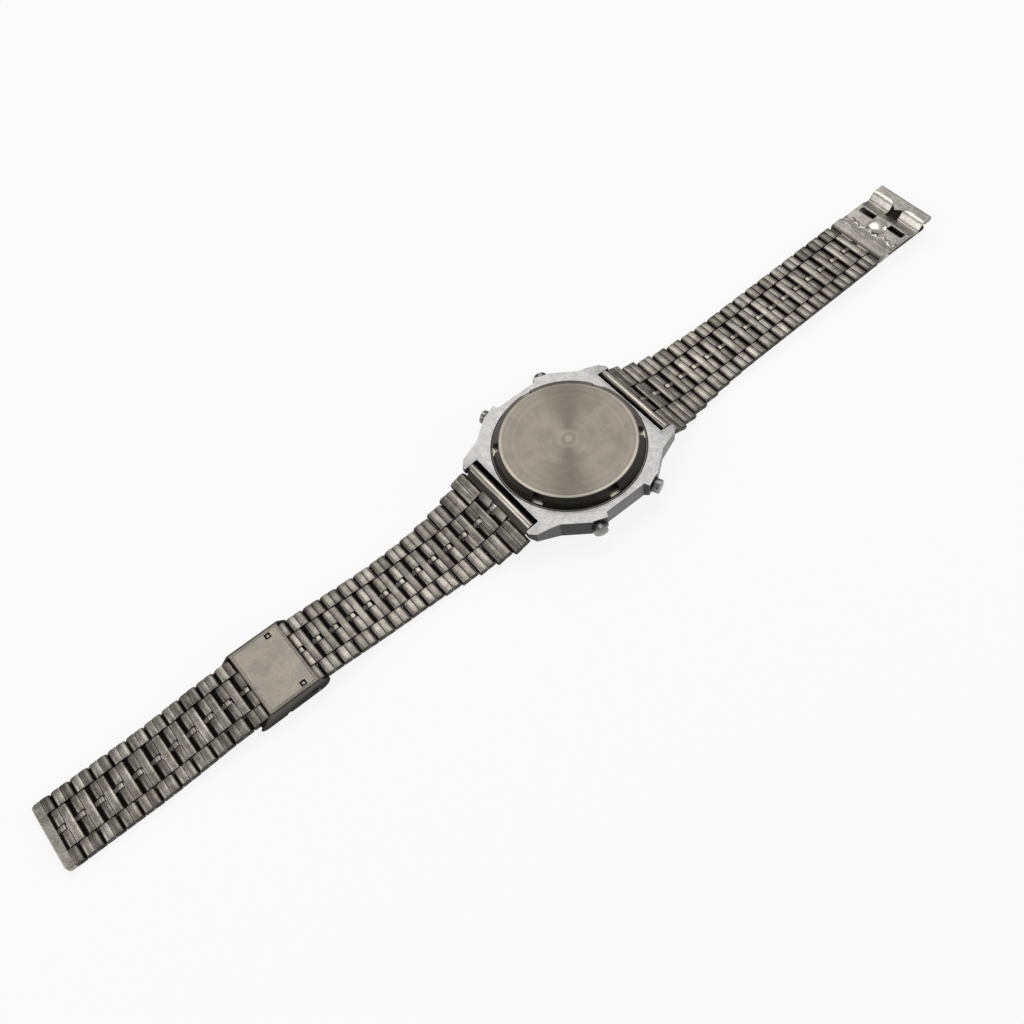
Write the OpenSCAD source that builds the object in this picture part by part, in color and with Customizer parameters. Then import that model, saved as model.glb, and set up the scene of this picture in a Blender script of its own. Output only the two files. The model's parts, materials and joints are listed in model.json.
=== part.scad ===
// Digital wristwatch with a steel brick-link bracelet, lying face down.
// X runs along the bracelet towards the hook end, Y across it, and Z up to the case back.
// The origin is the middle of the bezel's front face, which the watch rests on.

/* [Case] */
// Height of the case-back seat flange above the bezel's front face
flange_z = 6.2; // [5.8:0.1:6.8]
// Half length of the case between the flats at the top and bottom of the dial
case_half_y = 15.95; // [15.6:0.05:16.4]
// Distance from the case back's edge to the wall behind the bracelet's end tubes
channel_out = 0.35; // [0.3:0.05:0.65]
// Distance from the spring bars to the tips of the lugs
lug_out = 1.4; // [1.1:0.1:2]
// Free width between the lugs
lug_gap = 18.3; // [18.1:0.1:18.6]
// Distance from the middle to the slanted faces of the case
diagonal_r = 17.5; // [17.3:0.1:18]
// Direction of the slanted faces, measured from the bracelet
diagonal_angle = 52.7; // [50:0.1:55]
// Distance from the flats to the faces that the push buttons stand on, both measured from the middle
boss_out = 1.65; // [1.45:0.05:2.05]
// Distance from the middle to the lugs' outer faces
lug_r = 15.57; // [15.5:0.01:15.7]
// Direction of the lugs' outer faces, measured from the bracelet
lug_angle = 72.8; // [72:0.1:74]
// Width of each push button's boss along its face
boss_w = 3.7; // [3.2:0.1:4.2]
// Height at which the sloping bezel meets the side wall
bezel_h = 2.2; // [1.8:0.1:2.6]
// How far the bezel's slope draws the sides in
bezel_run = 3.1; // [2.6:0.1:3.4]
// Radius of the hollow for the module
cavity_r = 13.3; // [13.1:0.1:13.5]

/* [Case back] */
// Outer radius of the case back
back_r = 14.75; // [14.5:0.05:14.8]
// Radius of the flat middle of the case back
back_flat_r = 12.8; // [12:0.1:13]
// Height of the case back's flat middle
back_top_z = 8.2; // [8:0.1:8.8]
// Thickness of the case back's sheet
back_t = 0.8; // [0.6:0.1:1]
// Depth of the case back's seat below the flange
back_seat = 0.7; // [0.5:0.1:0.9]
// Width of each of the six key slots
key_slot_w = 2.05; // [1.5:0.05:2.6]
// Clearance around the case back
back_gap = 0.18; // [0.08:0.02:0.2]

/* [Crystal and display] */
// Half size of the crystal along the bracelet
crystal_half_x = 10.4; // [9.8:0.1:10.8]
// Half size of the crystal across the bracelet
crystal_half_y = 11.4; // [10.8:0.1:11.6]
// Corner cut of the crystal
crystal_cut = 4; // [3:0.1:5]
// Thickness of the crystal
crystal_t = 1.3; // [1:0.1:1.4]
// Depth of the crystal's face below the bezel's face
crystal_sink = 0.1; // [0.05:0.05:0.3]
// Width of the ledge that the crystal is glued to
crystal_ledge = 0.8; // [0.6:0.1:1]
// Thickness of the case floor behind the crystal
floor_t = 0.5; // [0.4:0.1:0.6]
// Size of the display panel along the bracelet
lcd_x = 13; // [12:0.1:14]
// Size of the display panel across the bracelet
lcd_y = 19.6; // [18:0.1:20]
// Thickness of the display panel
lcd_t = 1.1; // [0.9:0.1:1.3]
// Size of the window in the dial mask along the bracelet
window_x = 9; // [8:0.1:10]
// Size of the window in the dial mask across the bracelet
window_y = 17; // [16:0.1:18]
// Thickness of the dial mask
mask_t = 0.25; // [0.2:0.05:0.4]

/* [Module] */
// Clearance round the plastic module frame
module_gap = 0.4; // [0.3:0.1:0.7]
// Distance of the circuit board's edge inside the module frame's
board_in = 1.7; // [1.5:0.1:2.1]
// Thickness of the circuit board
board_t = 0.6; // [0.5:0.05:0.8]
// Radius of the button cell
cell_r = 5.8; // [5.5:0.1:6]
// Thickness of the button cell
cell_t = 2.6; // [2:0.1:2.8]

/* [Push buttons] */
// Direction of the push buttons, measured from the bracelet
pusher_angle = 67.5; // [65.5:0.5:69]
// Height of the push buttons' axes
pusher_z = 4.1; // [3.9:0.1:4.3]
// Radius of a push button's cap
cap_r = 1.4; // [1.2:0.05:1.5]
// Length of a push button's cap
cap_len = 1.4; // [1.2:0.1:1.8]
// Radius of a push button's stem
stem_r = 0.5; // [0.4:0.05:0.6]
// Travel of a push button
pusher_travel = 0.8; // [0.6:0.05:1]
// Clearance round a push button's stem
stem_gap = 0.08; // [0.05:0.01:0.1]
// Length of a push button's return spring when pressed home
spring_len = 0.75; // [0.6:0.05:0.9]

/* [Bracelet] */
// Length of one link along the bracelet
pitch = 3.65; // [3.6:0.01:3.75]
// Length of one link inside the clasp, where the links are drawn out straight
clasped_pitch = 3.8; // [3.75:0.01:3.9]
// Number of links between the head and the clasp
near_links = 12; // [12:1:12]
// Number of links held inside the clasp
clasped_count = 4; // [4:1:4]
// Number of links between the clasp and the free end
far_links = 9; // [9:1:9]
// Number of links between the head and the hook plate
hook_links = 17; // [17:1:17]
// Sideways set of each link of the hook strap against the one before, from the play beside the tongues
side_set = 0.045; // [0:0.005:0.05]
// Width of the bracelet
band_w = 13.75; // [13.6:0.05:14]
// Extra width of the first link beside the head
taper_w = 6.1; // [5:0.1:6.4]
// How quickly the widening fades along the links
taper_power = 2.25; // [1.8:0.05:2.6]
// Number of the link where the widening ends
taper_links = 8; // [6:1:10]
// Half width of the centre row
centre_half = 3.72; // [3.4:0.02:4]
// Gap between the centre row and the outer rows
row_gap = 0.18; // [0.14:0.02:0.24]
// Thickness of the outer rows
link_t = 1.3; // [1.2:0.02:1.4]
// Thickness of the centre row
centre_t = 1.22; // [1.16:0.02:1.24]
// Rounding of the links' long edges
link_round = 0.5; // [0.4:0.02:0.58]
// Reach of the outer rows' rolls past their pins
outer_reach = 0.8; // [0.7:0.01:0.82]
// Reach of the centre rolls past their pins
centre_reach = 0.62; // [0.6:0.01:0.66]
// Radius of the link pins
pin_r = 0.35; // [0.3:0.01:0.38]
// Running clearance round the link pins
pin_gap = 0.05; // [0.03:0.01:0.06]
// Width of the tongue between the two short bars
tongue_w = 1; // [0.8:0.05:1.2]
// Clearance beside the tongue
tongue_gap = 0.15; // [0.1:0.01:0.2]
// Thickness of the tongue where it crosses to its own bar
tongue_t = 0.8; // [0.6:0.05:1]
// Width of the seam pressed between two rolls
seam_w = 0.14; // [0.1:0.01:0.2]
// Depth of the seam pressed between two rolls
seam_d = 0.3; // [0.15:0.01:0.35]
// Thickness of the front sheet that closes the gaps between the rolls
lap_t = 0.4; // [0.3:0.02:0.44]
// Reach of that sheet past an outer roll
lap = 0.12; // [0.06:0.01:0.12]
// Clearance between that sheet and the centre rolls beside it
lap_gap = 0.13; // [0.08:0.01:0.16]

/* [End links] */
// Distance of the spring bars from the wall behind them
bar_out = 1.5; // [1.3:0.05:1.7]
// Height of the spring bars
bar_z = 5.2; // [5:0.05:5.25]
// Distance from a spring bar to the first link pin
end_len = 3; // [2.9:0.05:3.1]
// Outer radius of the end tube
tube_r = 0.8; // [0.76:0.02:0.86]
// Radius of the spring bar inside the tube
bar_r = 0.5; // [0.4:0.02:0.54]
// Clearance between the spring bar and its tube
bar_gap = 0.06; // [0.04:0.01:0.1]
// Clearance between an end tube and the lugs
tube_side_gap = 0.2; // [0.15:0.01:0.3]
// Radius of the pivots at the ends of the spring bar
pivot_r = 0.4; // [0.3:0.02:0.44]
// Reach of the pivots into the lugs
pivot_len = 0.8; // [0.6:0.05:0.9]
// Thickness of the end link's sheet
end_sheet_t = 1; // [0.8:0.05:1.2]
// Width of the end link's sheet
end_sheet_w = 15.4; // [15:0.1:16]

/* [Clasp] */
// Length of the clasp's cheeks
clasp_len = 14.7; // [14.4:0.1:15]
// Length of the clasp's inner plate
plate_len = 10.1; // [9.8:0.1:10.6]
// Distance from the head end of the cheeks to the inner plate
plate_inset = 1.7; // [1.5:0.1:1.9]
// Thickness of the clasp's inner plate
plate_t = 0.45; // [0.4:0.05:0.5]
// Clearance between the links and the inner plate
plate_gap = 0.25; // [0.22:0.01:0.4]
// Thickness of the cheeks
cheek_t = 0.4; // [0.3:0.05:0.5]
// Clearance between the links and the cheeks
cheek_gap = 0.2; // [0.15:0.01:0.3]
// Thickness of the outer cover
cover_t = 0.5; // [0.4:0.05:0.6]
// Free height between the links and the outer cover
pocket_h = 0.9; // [0.85:0.05:1]
// Clearance beside the outer cover
cover_gap = 0.12; // [0.1:0.01:0.15]
// Radius of the cover's hinge pin
cover_pin_r = 0.3; // [0.25:0.01:0.35]
// Radius of the cover's knuckle
knuckle_r = 0.58; // [0.56:0.01:0.6]
// Distance from the head end of the cheeks to the hinge pin
cover_pin_inset = 2.6; // [2.5:0.05:3]
// Size of the square sockets punched into the inner plate
socket_w = 1.1; // [0.9:0.05:1.3]
// Distance of the sockets from the middle line
socket_y = 5.9; // [5.5:0.05:6.1]

/* [Hook plate] */
// Distance from the hinge pin to the hook plate's folded end
hook_len = 15.5; // [15.3:0.1:15.8]
// Width of the hook plate
hook_w = 13.3; // [13:0.1:13.6]
// Thickness of the hook plate's sheet
hook_t = 0.45; // [0.4:0.01:0.5]
// Height of the sheet's middle above the hinge pin
hook_rise = 0.3; // [0.2:0.05:0.4]
// Reach of the rolled collar past the hinge pin, away from the links
collar_len = 2.5; // [2.2:0.1:2.8]
// Reach of the rolled collar past the hinge pin, towards the links
collar_back = 0.5; // [0.45:0.01:0.55]
// Height of the rolled collar
collar_t = 1.9; // [1.8:0.05:2]
// Start of the hollow in front of the raised lip
dip_x = 8.8; // [8.7:0.1:9.2]
// Length of the slope that leads down into the hollow
dip_len = 2.3; // [2:0.1:2.5]
// Depth of the hollow
dip_h = 0.5; // [0.4:0.05:0.6]
// Start of the raised lip
lip_x = 13; // [12.8:0.1:13.2]
// Height of the lip above the sheet
lip_h = 1.1; // [0.9:0.05:1.3]
// Length of the flap folded back under the lip
flap_len = 2; // [1.6:0.1:2.2]
// Inner radius of the folded end
fold_r = 0.15; // [0.12:0.01:0.2]
// Reach of the lip's pointed tab
tab_len = 1.5; // [1.2:0.1:1.6]
// Half width of the pointed tab's base
tab_half = 1.6; // [1.4:0.1:1.8]
// Start of the opening below the tab
window_x0 = 10.2; // [9.8:0.1:10.6]
// Half width of the opening below the tab
window_half = 1.35; // [1.2:0.05:1.5]
// Thickness of the front sheet below the latch slots
under_t = 0.35; // [0.25:0.05:0.4]
// Distance from the hinge pin to the two latch slots
slot_x = 7.1; // [6.9:0.1:7.3]
// Length of the latch slots along the bracelet
slot_len = 1.4; // [1.2:0.1:1.4]
// Width of the latch slots
slot_w = 3.9; // [3.6:0.1:4]
// Distance of the latch slots from the middle line
slot_y = 1.9; // [1.8:0.1:2.1]

/* [Hidden] */
$fn = 48;
eps = 0.01;

// Rest tilt of each piece of the clasp strap, end link first, with up as positive
left_tilt = [-42, -20, -12, -6, -1.8, 0, 0, 0, 3, 5, 6, 5, 2.5, 0,
             -3, -6, -6, -4.5, -2.5, 0, 0, 0, 0, 0];
// Rest tilt of each piece of the hook strap, end link first
right_tilt = [-43, -20, -10, -3, 0, 0.5, 1, 1.5, 2, 2, 2, 2, 2, 2, 2, 2, 2, 2, 2];

channel_x = back_r + channel_out;
bar_x = channel_x + bar_out;
lug_tip_x = bar_x + lug_out;
boss_r = case_half_y + boss_out;
module_r = cavity_r - module_gap;
board_r = module_r - board_in;

half = pitch / 2;
clasp_index = near_links + 1;
outer_in = centre_half + row_gap;
bore_r = pin_r + pin_gap;

function step(i, clasp) = i == 0 ? end_len : i == clasp ? clasped_count * clasped_pitch : pitch;
function pivot(tilt, clasp, i) = i == 0 ? [bar_x, bar_z] :
    pivot(tilt, clasp, i - 1) + step(i - 1, clasp) * [cos(tilt[i - 1]), sin(tilt[i - 1])];
function taper(i) = i < taper_links ? taper_w * pow((taper_links - i) / (taper_links - 1), taper_power) : 0;
function link_w(i) = band_w + taper(i);

// Places of the case's inner parts, from the front up
floor_z = crystal_sink + crystal_t + floor_t;
mask_z = floor_z + 0.05;
lcd_z = mask_z + mask_t + 0.03;
board_z = lcd_z + lcd_t + 0.03;
cell_z = board_z + board_t + 0.02;
seat_z = flange_z - back_seat;
recess_r = back_r + back_gap;
gasket_w = 0.5;
gasket_h = 0.4;

// Places of the clasp, measured from the middle of the links
plate_z = link_t / 2 + plate_gap;
cover_z = -link_t / 2 - pocket_h - cover_t;
cheek_in = band_w / 2 + cheek_gap;
cheek_top = plate_z + plate_t - 0.15;
clasp_x0 = -half / 2 - 0.3;
cover_pin_x = clasp_x0 + cover_pin_inset;
cover_pin_z = cover_z + knuckle_r + 0.05;

// An outline in X and Z, extruded across the bracelet from y0 to y1
module across(y0, y1) {
    translate([0, y1, 0]) rotate([90, 0, 0]) linear_extrude(y1 - y0) children();
}

// The same piece on both sides of the middle line
module both_sides() {
    children();
    mirror([0, 1, 0]) children();
}

// Cross-section of a bar with rounded long edges
module bar_section(x0, x1, t, r) {
    translate([x0 + r, -t / 2]) square([x1 - x0 - 2 * r, t]);
    translate([x0, -t / 2 + r]) square([x1 - x0, t - 2 * r]);
    for (x = [x0 + r, x1 - r], z = [-t / 2 + r, t / 2 - r]) translate([x, z]) circle(r);
}

// Front sheet that closes the gap beside a roll
module front_lap(x0, x1, t) {
    translate([x0, -t / 2]) square([x1 - x0, lap_t]);
}

// Seam between two rolls, seen on the inner side of the bracelet
module seam(x, t) {
    translate([x - seam_w / 2, t / 2 - seam_d]) square([seam_w, seam_d + eps]);
}

// Octagon with equal corner cuts
module octagon(half_x, half_y, cut) {
    polygon([[half_x, half_y - cut], [half_x - cut, half_y], [cut - half_x, half_y], [-half_x, half_y - cut],
             [-half_x, cut - half_y], [cut - half_x, -half_y], [half_x - cut, -half_y], [half_x, cut - half_y]]);
}

// Places a piece of the clasp strap with its pin at the origin and its length along X
module on_left(i) {
    p = pivot(left_tilt, clasp_index, i);
    translate([-p.x, 0, p.y]) mirror([1, 0, 0]) rotate([0, -left_tilt[i], 0]) children();
}

// Places a piece of the hook strap with its pin at the origin and its length along X
module on_right(i) {
    p = pivot(right_tilt, -1, i);
    translate([p.x, side_set * i, p.y]) rotate([0, -right_tilt[i], 0]) children();
}

// Places a push button's parts with its axis along X, pointing outwards
module on_pusher(n) {
    angle = n == 1 ? pusher_angle : n == 2 ? 180 - pusher_angle : n == 3 ? 180 + pusher_angle : -pusher_angle;
    translate([0, 0, pusher_z]) rotate([0, 0, angle]) children();
}

// A round bar along X, with its start at x
module rod(x, len, r) {
    translate([x, 0, 0]) rotate([0, 90, 0]) cylinder(h = len, r = r);
}

// One corner of the case outline, before it is mirrored to the other three
module case_corner() {
    lug_y = lug_gap / 2;
    difference() {
        union() {
            intersection() {
                square([channel_x, case_half_y]);
                rotate(diagonal_angle) translate([0, -case_half_y]) square([diagonal_r, 2 * case_half_y]);
            }
            intersection() {
                square([lug_tip_x, case_half_y]);
                rotate(lug_angle) translate([0, -2 * lug_tip_x]) square([lug_r, 3 * lug_tip_x]);
            }
        }
        translate([channel_x, -eps]) square([lug_tip_x, lug_y + eps]);
        translate([lug_tip_x, lug_y + 0.75]) rotate(42) square([3, 4]);
    }
    rotate(pusher_angle) translate([0, -boss_w / 2]) square([boss_r, boss_w]);
}

module case_outline() {
    for (a = [0, 1], b = [0, 1]) mirror([a, 0]) mirror([0, b]) case_corner();
}

// Half space above a slope that starts at distance r in direction a and rises at the given angle
module slope_cut(a, r, angle) {
    rotate([0, 0, a]) translate([r, 0, 0]) rotate([0, -angle, 0]) translate([-10, -20, -20]) cube([40, 40, 20]);
}

module case() color("silver") {
    side_slope = atan(bezel_h / bezel_run);
    lug_slope = 42;
    difference() {
        linear_extrude(flange_z) case_outline();
        // The bezel's sloping facets
        for (a = [90, 270]) slope_cut(a, case_half_y - bezel_run, side_slope);
        for (a = [1, -1], b = [0, 180]) slope_cut(b + a * diagonal_angle, diagonal_r - bezel_run, side_slope);
        for (a = [0, 180]) slope_cut(a, crystal_half_x + 3, lug_slope);
        // The lugs fall away from the flange
        for (a = [0, 180]) rotate([0, 0, a]) translate([channel_x - 1, 0, flange_z]) rotate([0, 9, 0])
            translate([0, -20, 0]) cube([10, 40, 5]);
        // Seat, gasket groove and module cavity, bored from the back
        translate([0, 0, seat_z]) cylinder(h = back_seat + eps, r = recess_r);
        translate([0, 0, seat_z - gasket_h - 0.04]) cylinder(h = 1, r = cavity_r + 0.1 + gasket_w + 0.04);
        translate([0, 0, floor_z]) cylinder(h = flange_z, r = cavity_r);
        // Crystal recess and window, cut from the front
        translate([0, 0, -eps]) linear_extrude(crystal_sink + crystal_t + eps)
            octagon(crystal_half_x + 0.03, crystal_half_y + 0.03, crystal_cut);
        translate([0, 0, -eps]) linear_extrude(floor_z + 1)
            octagon(crystal_half_x - crystal_ledge, crystal_half_y - crystal_ledge, crystal_cut);
        // Bores for the push buttons and their springs
        for (n = [1 : 4]) on_pusher(n) {
            rod(cavity_r - 1, boss_r, stem_r + stem_gap);
            rod(boss_r - spring_len - pusher_travel - 0.1, spring_len + pusher_travel + cap_len + 1, cap_r + 0.1);
        }
        // Blind holes for the spring bars
        for (x = [-bar_x, bar_x]) translate([x, 0, bar_z]) rotate([90, 0, 0])
            cylinder(h = lug_gap + 2 * pivot_len + 0.1, r = pivot_r + 0.02, center = true);
    }
}

module case_back() color("tan") {
    neck_r = cavity_r - 0.05;
    difference() {
        rotate_extrude($fn = 96) polygon([
            [0, back_top_z - back_t], [neck_r - 1.05, back_top_z - back_t], [neck_r - 0.65, seat_z - 0.5],
            [neck_r, seat_z - 0.5], [neck_r, seat_z], [back_r, seat_z], [back_r, flange_z + 0.25],
            [back_r - 0.7, back_top_z - 0.35], [back_flat_r, back_top_z], [0, back_top_z]]);
        for (k = [0 : 5]) rotate([0, 0, 26 + 60 * k])
            translate([back_r - 0.95, -key_slot_w / 2, flange_z + 0.35]) cube([2, key_slot_w, 3]);
    }
}

module back_gasket() color("black") {
    translate([0, 0, seat_z - gasket_h - 0.02]) difference() {
        cylinder(h = gasket_h, r = cavity_r + 0.1 + gasket_w);
        translate([0, 0, -eps]) cylinder(h = gasket_h + 1, r = cavity_r + 0.1);
    }
}

module crystal() color("lightcyan") {
    translate([0, 0, crystal_sink]) linear_extrude(crystal_t) octagon(crystal_half_x, crystal_half_y, crystal_cut);
}

module dial_mask() color("dimgray") {
    translate([0, 0, mask_z]) difference() {
        cylinder(h = mask_t, r = module_r);
        translate([-window_x / 2, -window_y / 2, -eps]) cube([window_x, window_y, 1]);
    }
}

module lcd_panel() color("darkseagreen") {
    translate([-lcd_x / 2, -lcd_y / 2, lcd_z]) cube([lcd_x, lcd_y, lcd_t]);
}

module module_frame() color("dimgray") {
    top_z = seat_z - 0.6;
    difference() {
        translate([0, 0, lcd_z]) cylinder(h = top_z - lcd_z, r = module_r);
        translate([-lcd_x / 2 - 0.05, -lcd_y / 2 - 0.05, lcd_z - eps]) cube([lcd_x + 0.1, lcd_y + 0.1, lcd_t + 0.03]);
        translate([0, 0, board_z - 0.02]) cylinder(h = 5, r = board_r + 0.1);
        // Room for the push buttons' inner ends
        for (n = [1 : 4]) on_pusher(n) translate([cavity_r - 1.9, -1.3, -1.2]) cube([3, 2.6, 5]);
    }
}

module circuit_board() color("darkgreen") {
    cell_x = 3.6;
    translate([0, 0, board_z]) cylinder(h = board_t, r = board_r);
    // Sealed chip and quartz can beside the cell
    translate([-8.2, -2, board_z]) cube([3.6, 4, board_t + 0.9]);
    translate([-4.6, 7.3, board_z + board_t + 0.5]) rotate([0, 90, 0]) cylinder(h = 5, r = 0.7);
    // Spring contact under the cell's edge
    translate([cell_x - 1, -8.4, board_z]) cube([2, 1.8, board_t + 1.2]);
}

module battery() color("lightsteelblue") {
    translate([2.2, 0, cell_z]) {
        cylinder(h = cell_t, r = cell_r);
        cylinder(h = 0.1, r = cell_r);
    }
}

module pusher(n) color("gainsboro") on_pusher(n) {
    rod(boss_r + 0.05, cap_len, cap_r);
    rod(cavity_r - 0.6, boss_r + 0.1 - cavity_r + 0.6, stem_r);
    rod(cavity_r - 0.42, 0.3, stem_r + 0.35);
}

module pusher_springs() color("gray") {
    for (n = [1 : 4]) on_pusher(n) difference() {
        rod(boss_r - spring_len - pusher_travel - 0.09, spring_len, stem_r + 0.4);
        rod(boss_r - spring_len - pusher_travel - 1, 4, stem_r + 0.15);
    }
}

module spring_bars() color("gray") {
    for (x = [-bar_x, bar_x]) translate([x, 0, bar_z]) rotate([90, 0, 0]) {
        cylinder(h = lug_gap - 2 * tube_side_gap, r = bar_r, center = true);
        cylinder(h = lug_gap + 2 * pivot_len, r = pivot_r, center = true);
    }
}

// Centre piece of a link: one long bar, and two short bars that hold the next tongue
module centre_piece(len, reach) {
    x1 = len + centre_reach;
    seam_x = (reach + len) / 2;
    slot_half = tongue_w / 2 + tongue_gap;
    slot_x0 = len - centre_reach - 0.08;
    difference() {
        across(-centre_half, centre_half) difference() {
            union() {
                bar_section(reach - centre_reach, x1, centre_t, link_round);
                front_lap(centre_reach + lap_gap, reach, centre_t);
            }
            seam(seam_x, centre_t);
            translate([len, 0]) circle(bore_r);
        }
        // Slot for the next tongue, with a step of the front sheet behind it
        translate([seam_x, -slot_half, lap_t - centre_t / 2]) cube([x1, 2 * slot_half, centre_t]);
        translate([slot_x0, -slot_half, -centre_t]) cube([x1, 2 * slot_half, 2 * centre_t]);
    }
}

// Tongue that reaches back from a long bar to the pin at the origin
module tongue(reach) {
    across(-tongue_w / 2, tongue_w / 2) {
        circle(centre_reach);
        translate([0, -tongue_t / 2]) square([reach, tongue_t]);
    }
}

// The two outer bars of a link, held together by its pins
module outer_pieces(w, x1, pins) {
    both_sides() across(outer_in, w / 2) difference() {
        union() {
            bar_section(-outer_reach, x1 + outer_reach, link_t, link_round);
            front_lap(-outer_reach - lap, 0, link_t);
        }
        seam(x1 / 2, link_t);
    }
    for (x = pins) translate([x, 0, 0]) rotate([90, 0, 0]) cylinder(h = w - 1, r = pin_r, center = true);
}

module band_link(w, len) {
    outer_pieces(w, half, [0, half]);
    centre_piece(len, half);
    tongue(half);
}

// Tube round the spring bar, with the sheet that holds the first link
module end_link() {
    tube_w = lug_gap - 2 * tube_side_gap;
    sheet_x1 = end_len - outer_reach - 0.25;
    difference() {
        union() {
            across(-tube_w / 2, tube_w / 2) circle(tube_r);
            across(-end_sheet_w / 2, end_sheet_w / 2) translate([0, -tube_r + 0.1]) square([sheet_x1, end_sheet_t]);
            across(-centre_half, centre_half) bar_section(sheet_x1 - 0.4, end_len + centre_reach, centre_t, link_round);
        }
        across(-tube_w, tube_w) circle(bar_r + bar_gap);
        across(-tube_w, tube_w) translate([end_len, 0]) circle(bore_r);
        translate([end_len - 0.9, -tongue_w / 2 - tongue_gap, -centre_t])
            cube([4, tongue_w + 2 * tongue_gap, 2 * centre_t]);
    }
}

module left_link(i) color("gray") on_left(i > near_links ? i + 1 : i) band_link(link_w(i), pitch);

module right_link(i) color("gray") on_right(i) band_link(link_w(i), pitch);

// The links that the clasp holds in line
module clasped_links() color("gray") on_left(clasp_index) {
    for (k = [0 : clasped_count - 1]) translate([k * clasped_pitch, 0, 0]) band_link(band_w, clasped_pitch);
}

// Last frame of the free end: the outer bars run into one bar across the end
module end_frame() color("gray") on_left(near_links + far_links + 2) {
    outer_pieces(band_w, half, [0]);
    across(-outer_in - 0.5, outer_in + 0.5) {
        bar_section(half / 2, half + outer_reach, link_t, link_round);
        front_lap(centre_reach + lap_gap, half, link_t);
    }
    tongue(half);
}

// Side view of a cheek: straight along the top, rounded up at both ends below
module cheek_section() {
    x1 = clasp_x0 + clasp_len;
    low = cover_z + 0.15;
    difference() {
        translate([clasp_x0, low]) square([clasp_len, cheek_top - low]);
        difference() {
            translate([clasp_x0 - eps, low - eps]) square([3.2, 2.2]);
            translate([clasp_x0 + 3.2, low + 2.2]) scale([3.2, 3.2]) circle(1);
        }
        difference() {
            translate([x1 - 1.6 + eps, low - eps]) square([1.6, 1.6]);
            translate([x1 - 1.6, low + 1.6]) circle(1.6);
        }
        // The cheeks fall away past both ends of the inner plate
        polygon([[clasp_x0 + plate_inset - 0.3, cheek_top + eps], [clasp_x0 - eps, 0.2], [clasp_x0 - eps, 2]]);
        polygon([[clasp_x0 + plate_inset + plate_len + 0.2, cheek_top + eps], [x1 + eps, -0.3], [x1 + eps, 2]]);
        translate([cover_pin_x, cover_pin_z]) circle(cover_pin_r + pin_gap);
        translate([clasp_x0 + 2.7, -0.6]) square([1.2, 0.4]);
    }
}

module clasp_frame() color("rosybrown") on_left(clasp_index) {
    plate_x0 = clasp_x0 + plate_inset;
    both_sides() across(cheek_in, cheek_in + cheek_t) cheek_section();
    difference() {
        across(-cheek_in - 0.1, cheek_in + 0.1) translate([plate_x0, plate_z]) square([plate_len, plate_t]);
        both_sides() translate([plate_x0 + 2, socket_y - socket_w / 2, plate_z + plate_t - 0.25])
            difference() {
                cube([socket_w, socket_w, 1]);
                translate([socket_w / 2 - 0.25, socket_w / 2 - 0.25, -eps]) cube([0.5, 0.5, 0.2]);
            }
    }
}

module clasp_cover() color("gray") on_left(clasp_index) {
    half_w = cheek_in - cover_gap;
    x1 = clasp_x0 + clasp_len - 0.5;
    across(-half_w, half_w) {
        translate([cover_pin_x, cover_pin_z]) circle(knuckle_r);
        translate([cover_pin_x, cover_z]) square([x1 - cover_pin_x - 1, cover_t]);
        translate([x1 - 1, cover_z + cover_t / 2]) circle(cover_t / 2);
    }
    translate([cover_pin_x, 0, cover_pin_z]) rotate([90, 0, 0])
        cylinder(h = 2 * (cheek_in + cheek_t), r = cover_pin_r, center = true);
}

// Side view of the sheet between two heights, drawn as an S-bend of two equal arcs
module bend(x0, z0, x1, z1, t) {
    n = 10;
    function at(u, side) = [x0 + (x1 - x0) * u, z0 + (z1 - z0) * (1 - cos(180 * u)) / 2 + side * t / 2];
    polygon(concat([for (k = [0 : n]) at(k / n, 1)], [for (k = [n : -1 : 0]) at(k / n, -1)]));
}

// Side view of the hook plate's sheet, from the collar to the folded end
module hook_section() {
    low = hook_rise - dip_h;
    high = hook_rise + lip_h;
    fold_x = hook_len - fold_r - hook_t;
    fold_z = high - hook_t / 2 - fold_r;
    translate([collar_len - 0.4, hook_rise - hook_t / 2]) square([dip_x - collar_len + 0.4 + eps, hook_t]);
    bend(dip_x, hook_rise, dip_x + dip_len, low, hook_t);
    bend(dip_x + dip_len, low, lip_x, high, hook_t);
    translate([lip_x - eps, high - hook_t / 2]) square([fold_x - lip_x + eps, hook_t]);
    translate([fold_x, fold_z]) intersection() {
        difference() {
            circle(fold_r + hook_t);
            circle(fold_r);
        }
        translate([0, -2]) square([4, 4]);
    }
    translate([hook_len - flap_len, fold_z - fold_r - hook_t]) square([fold_x - hook_len + flap_len, hook_t]);
}

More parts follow.
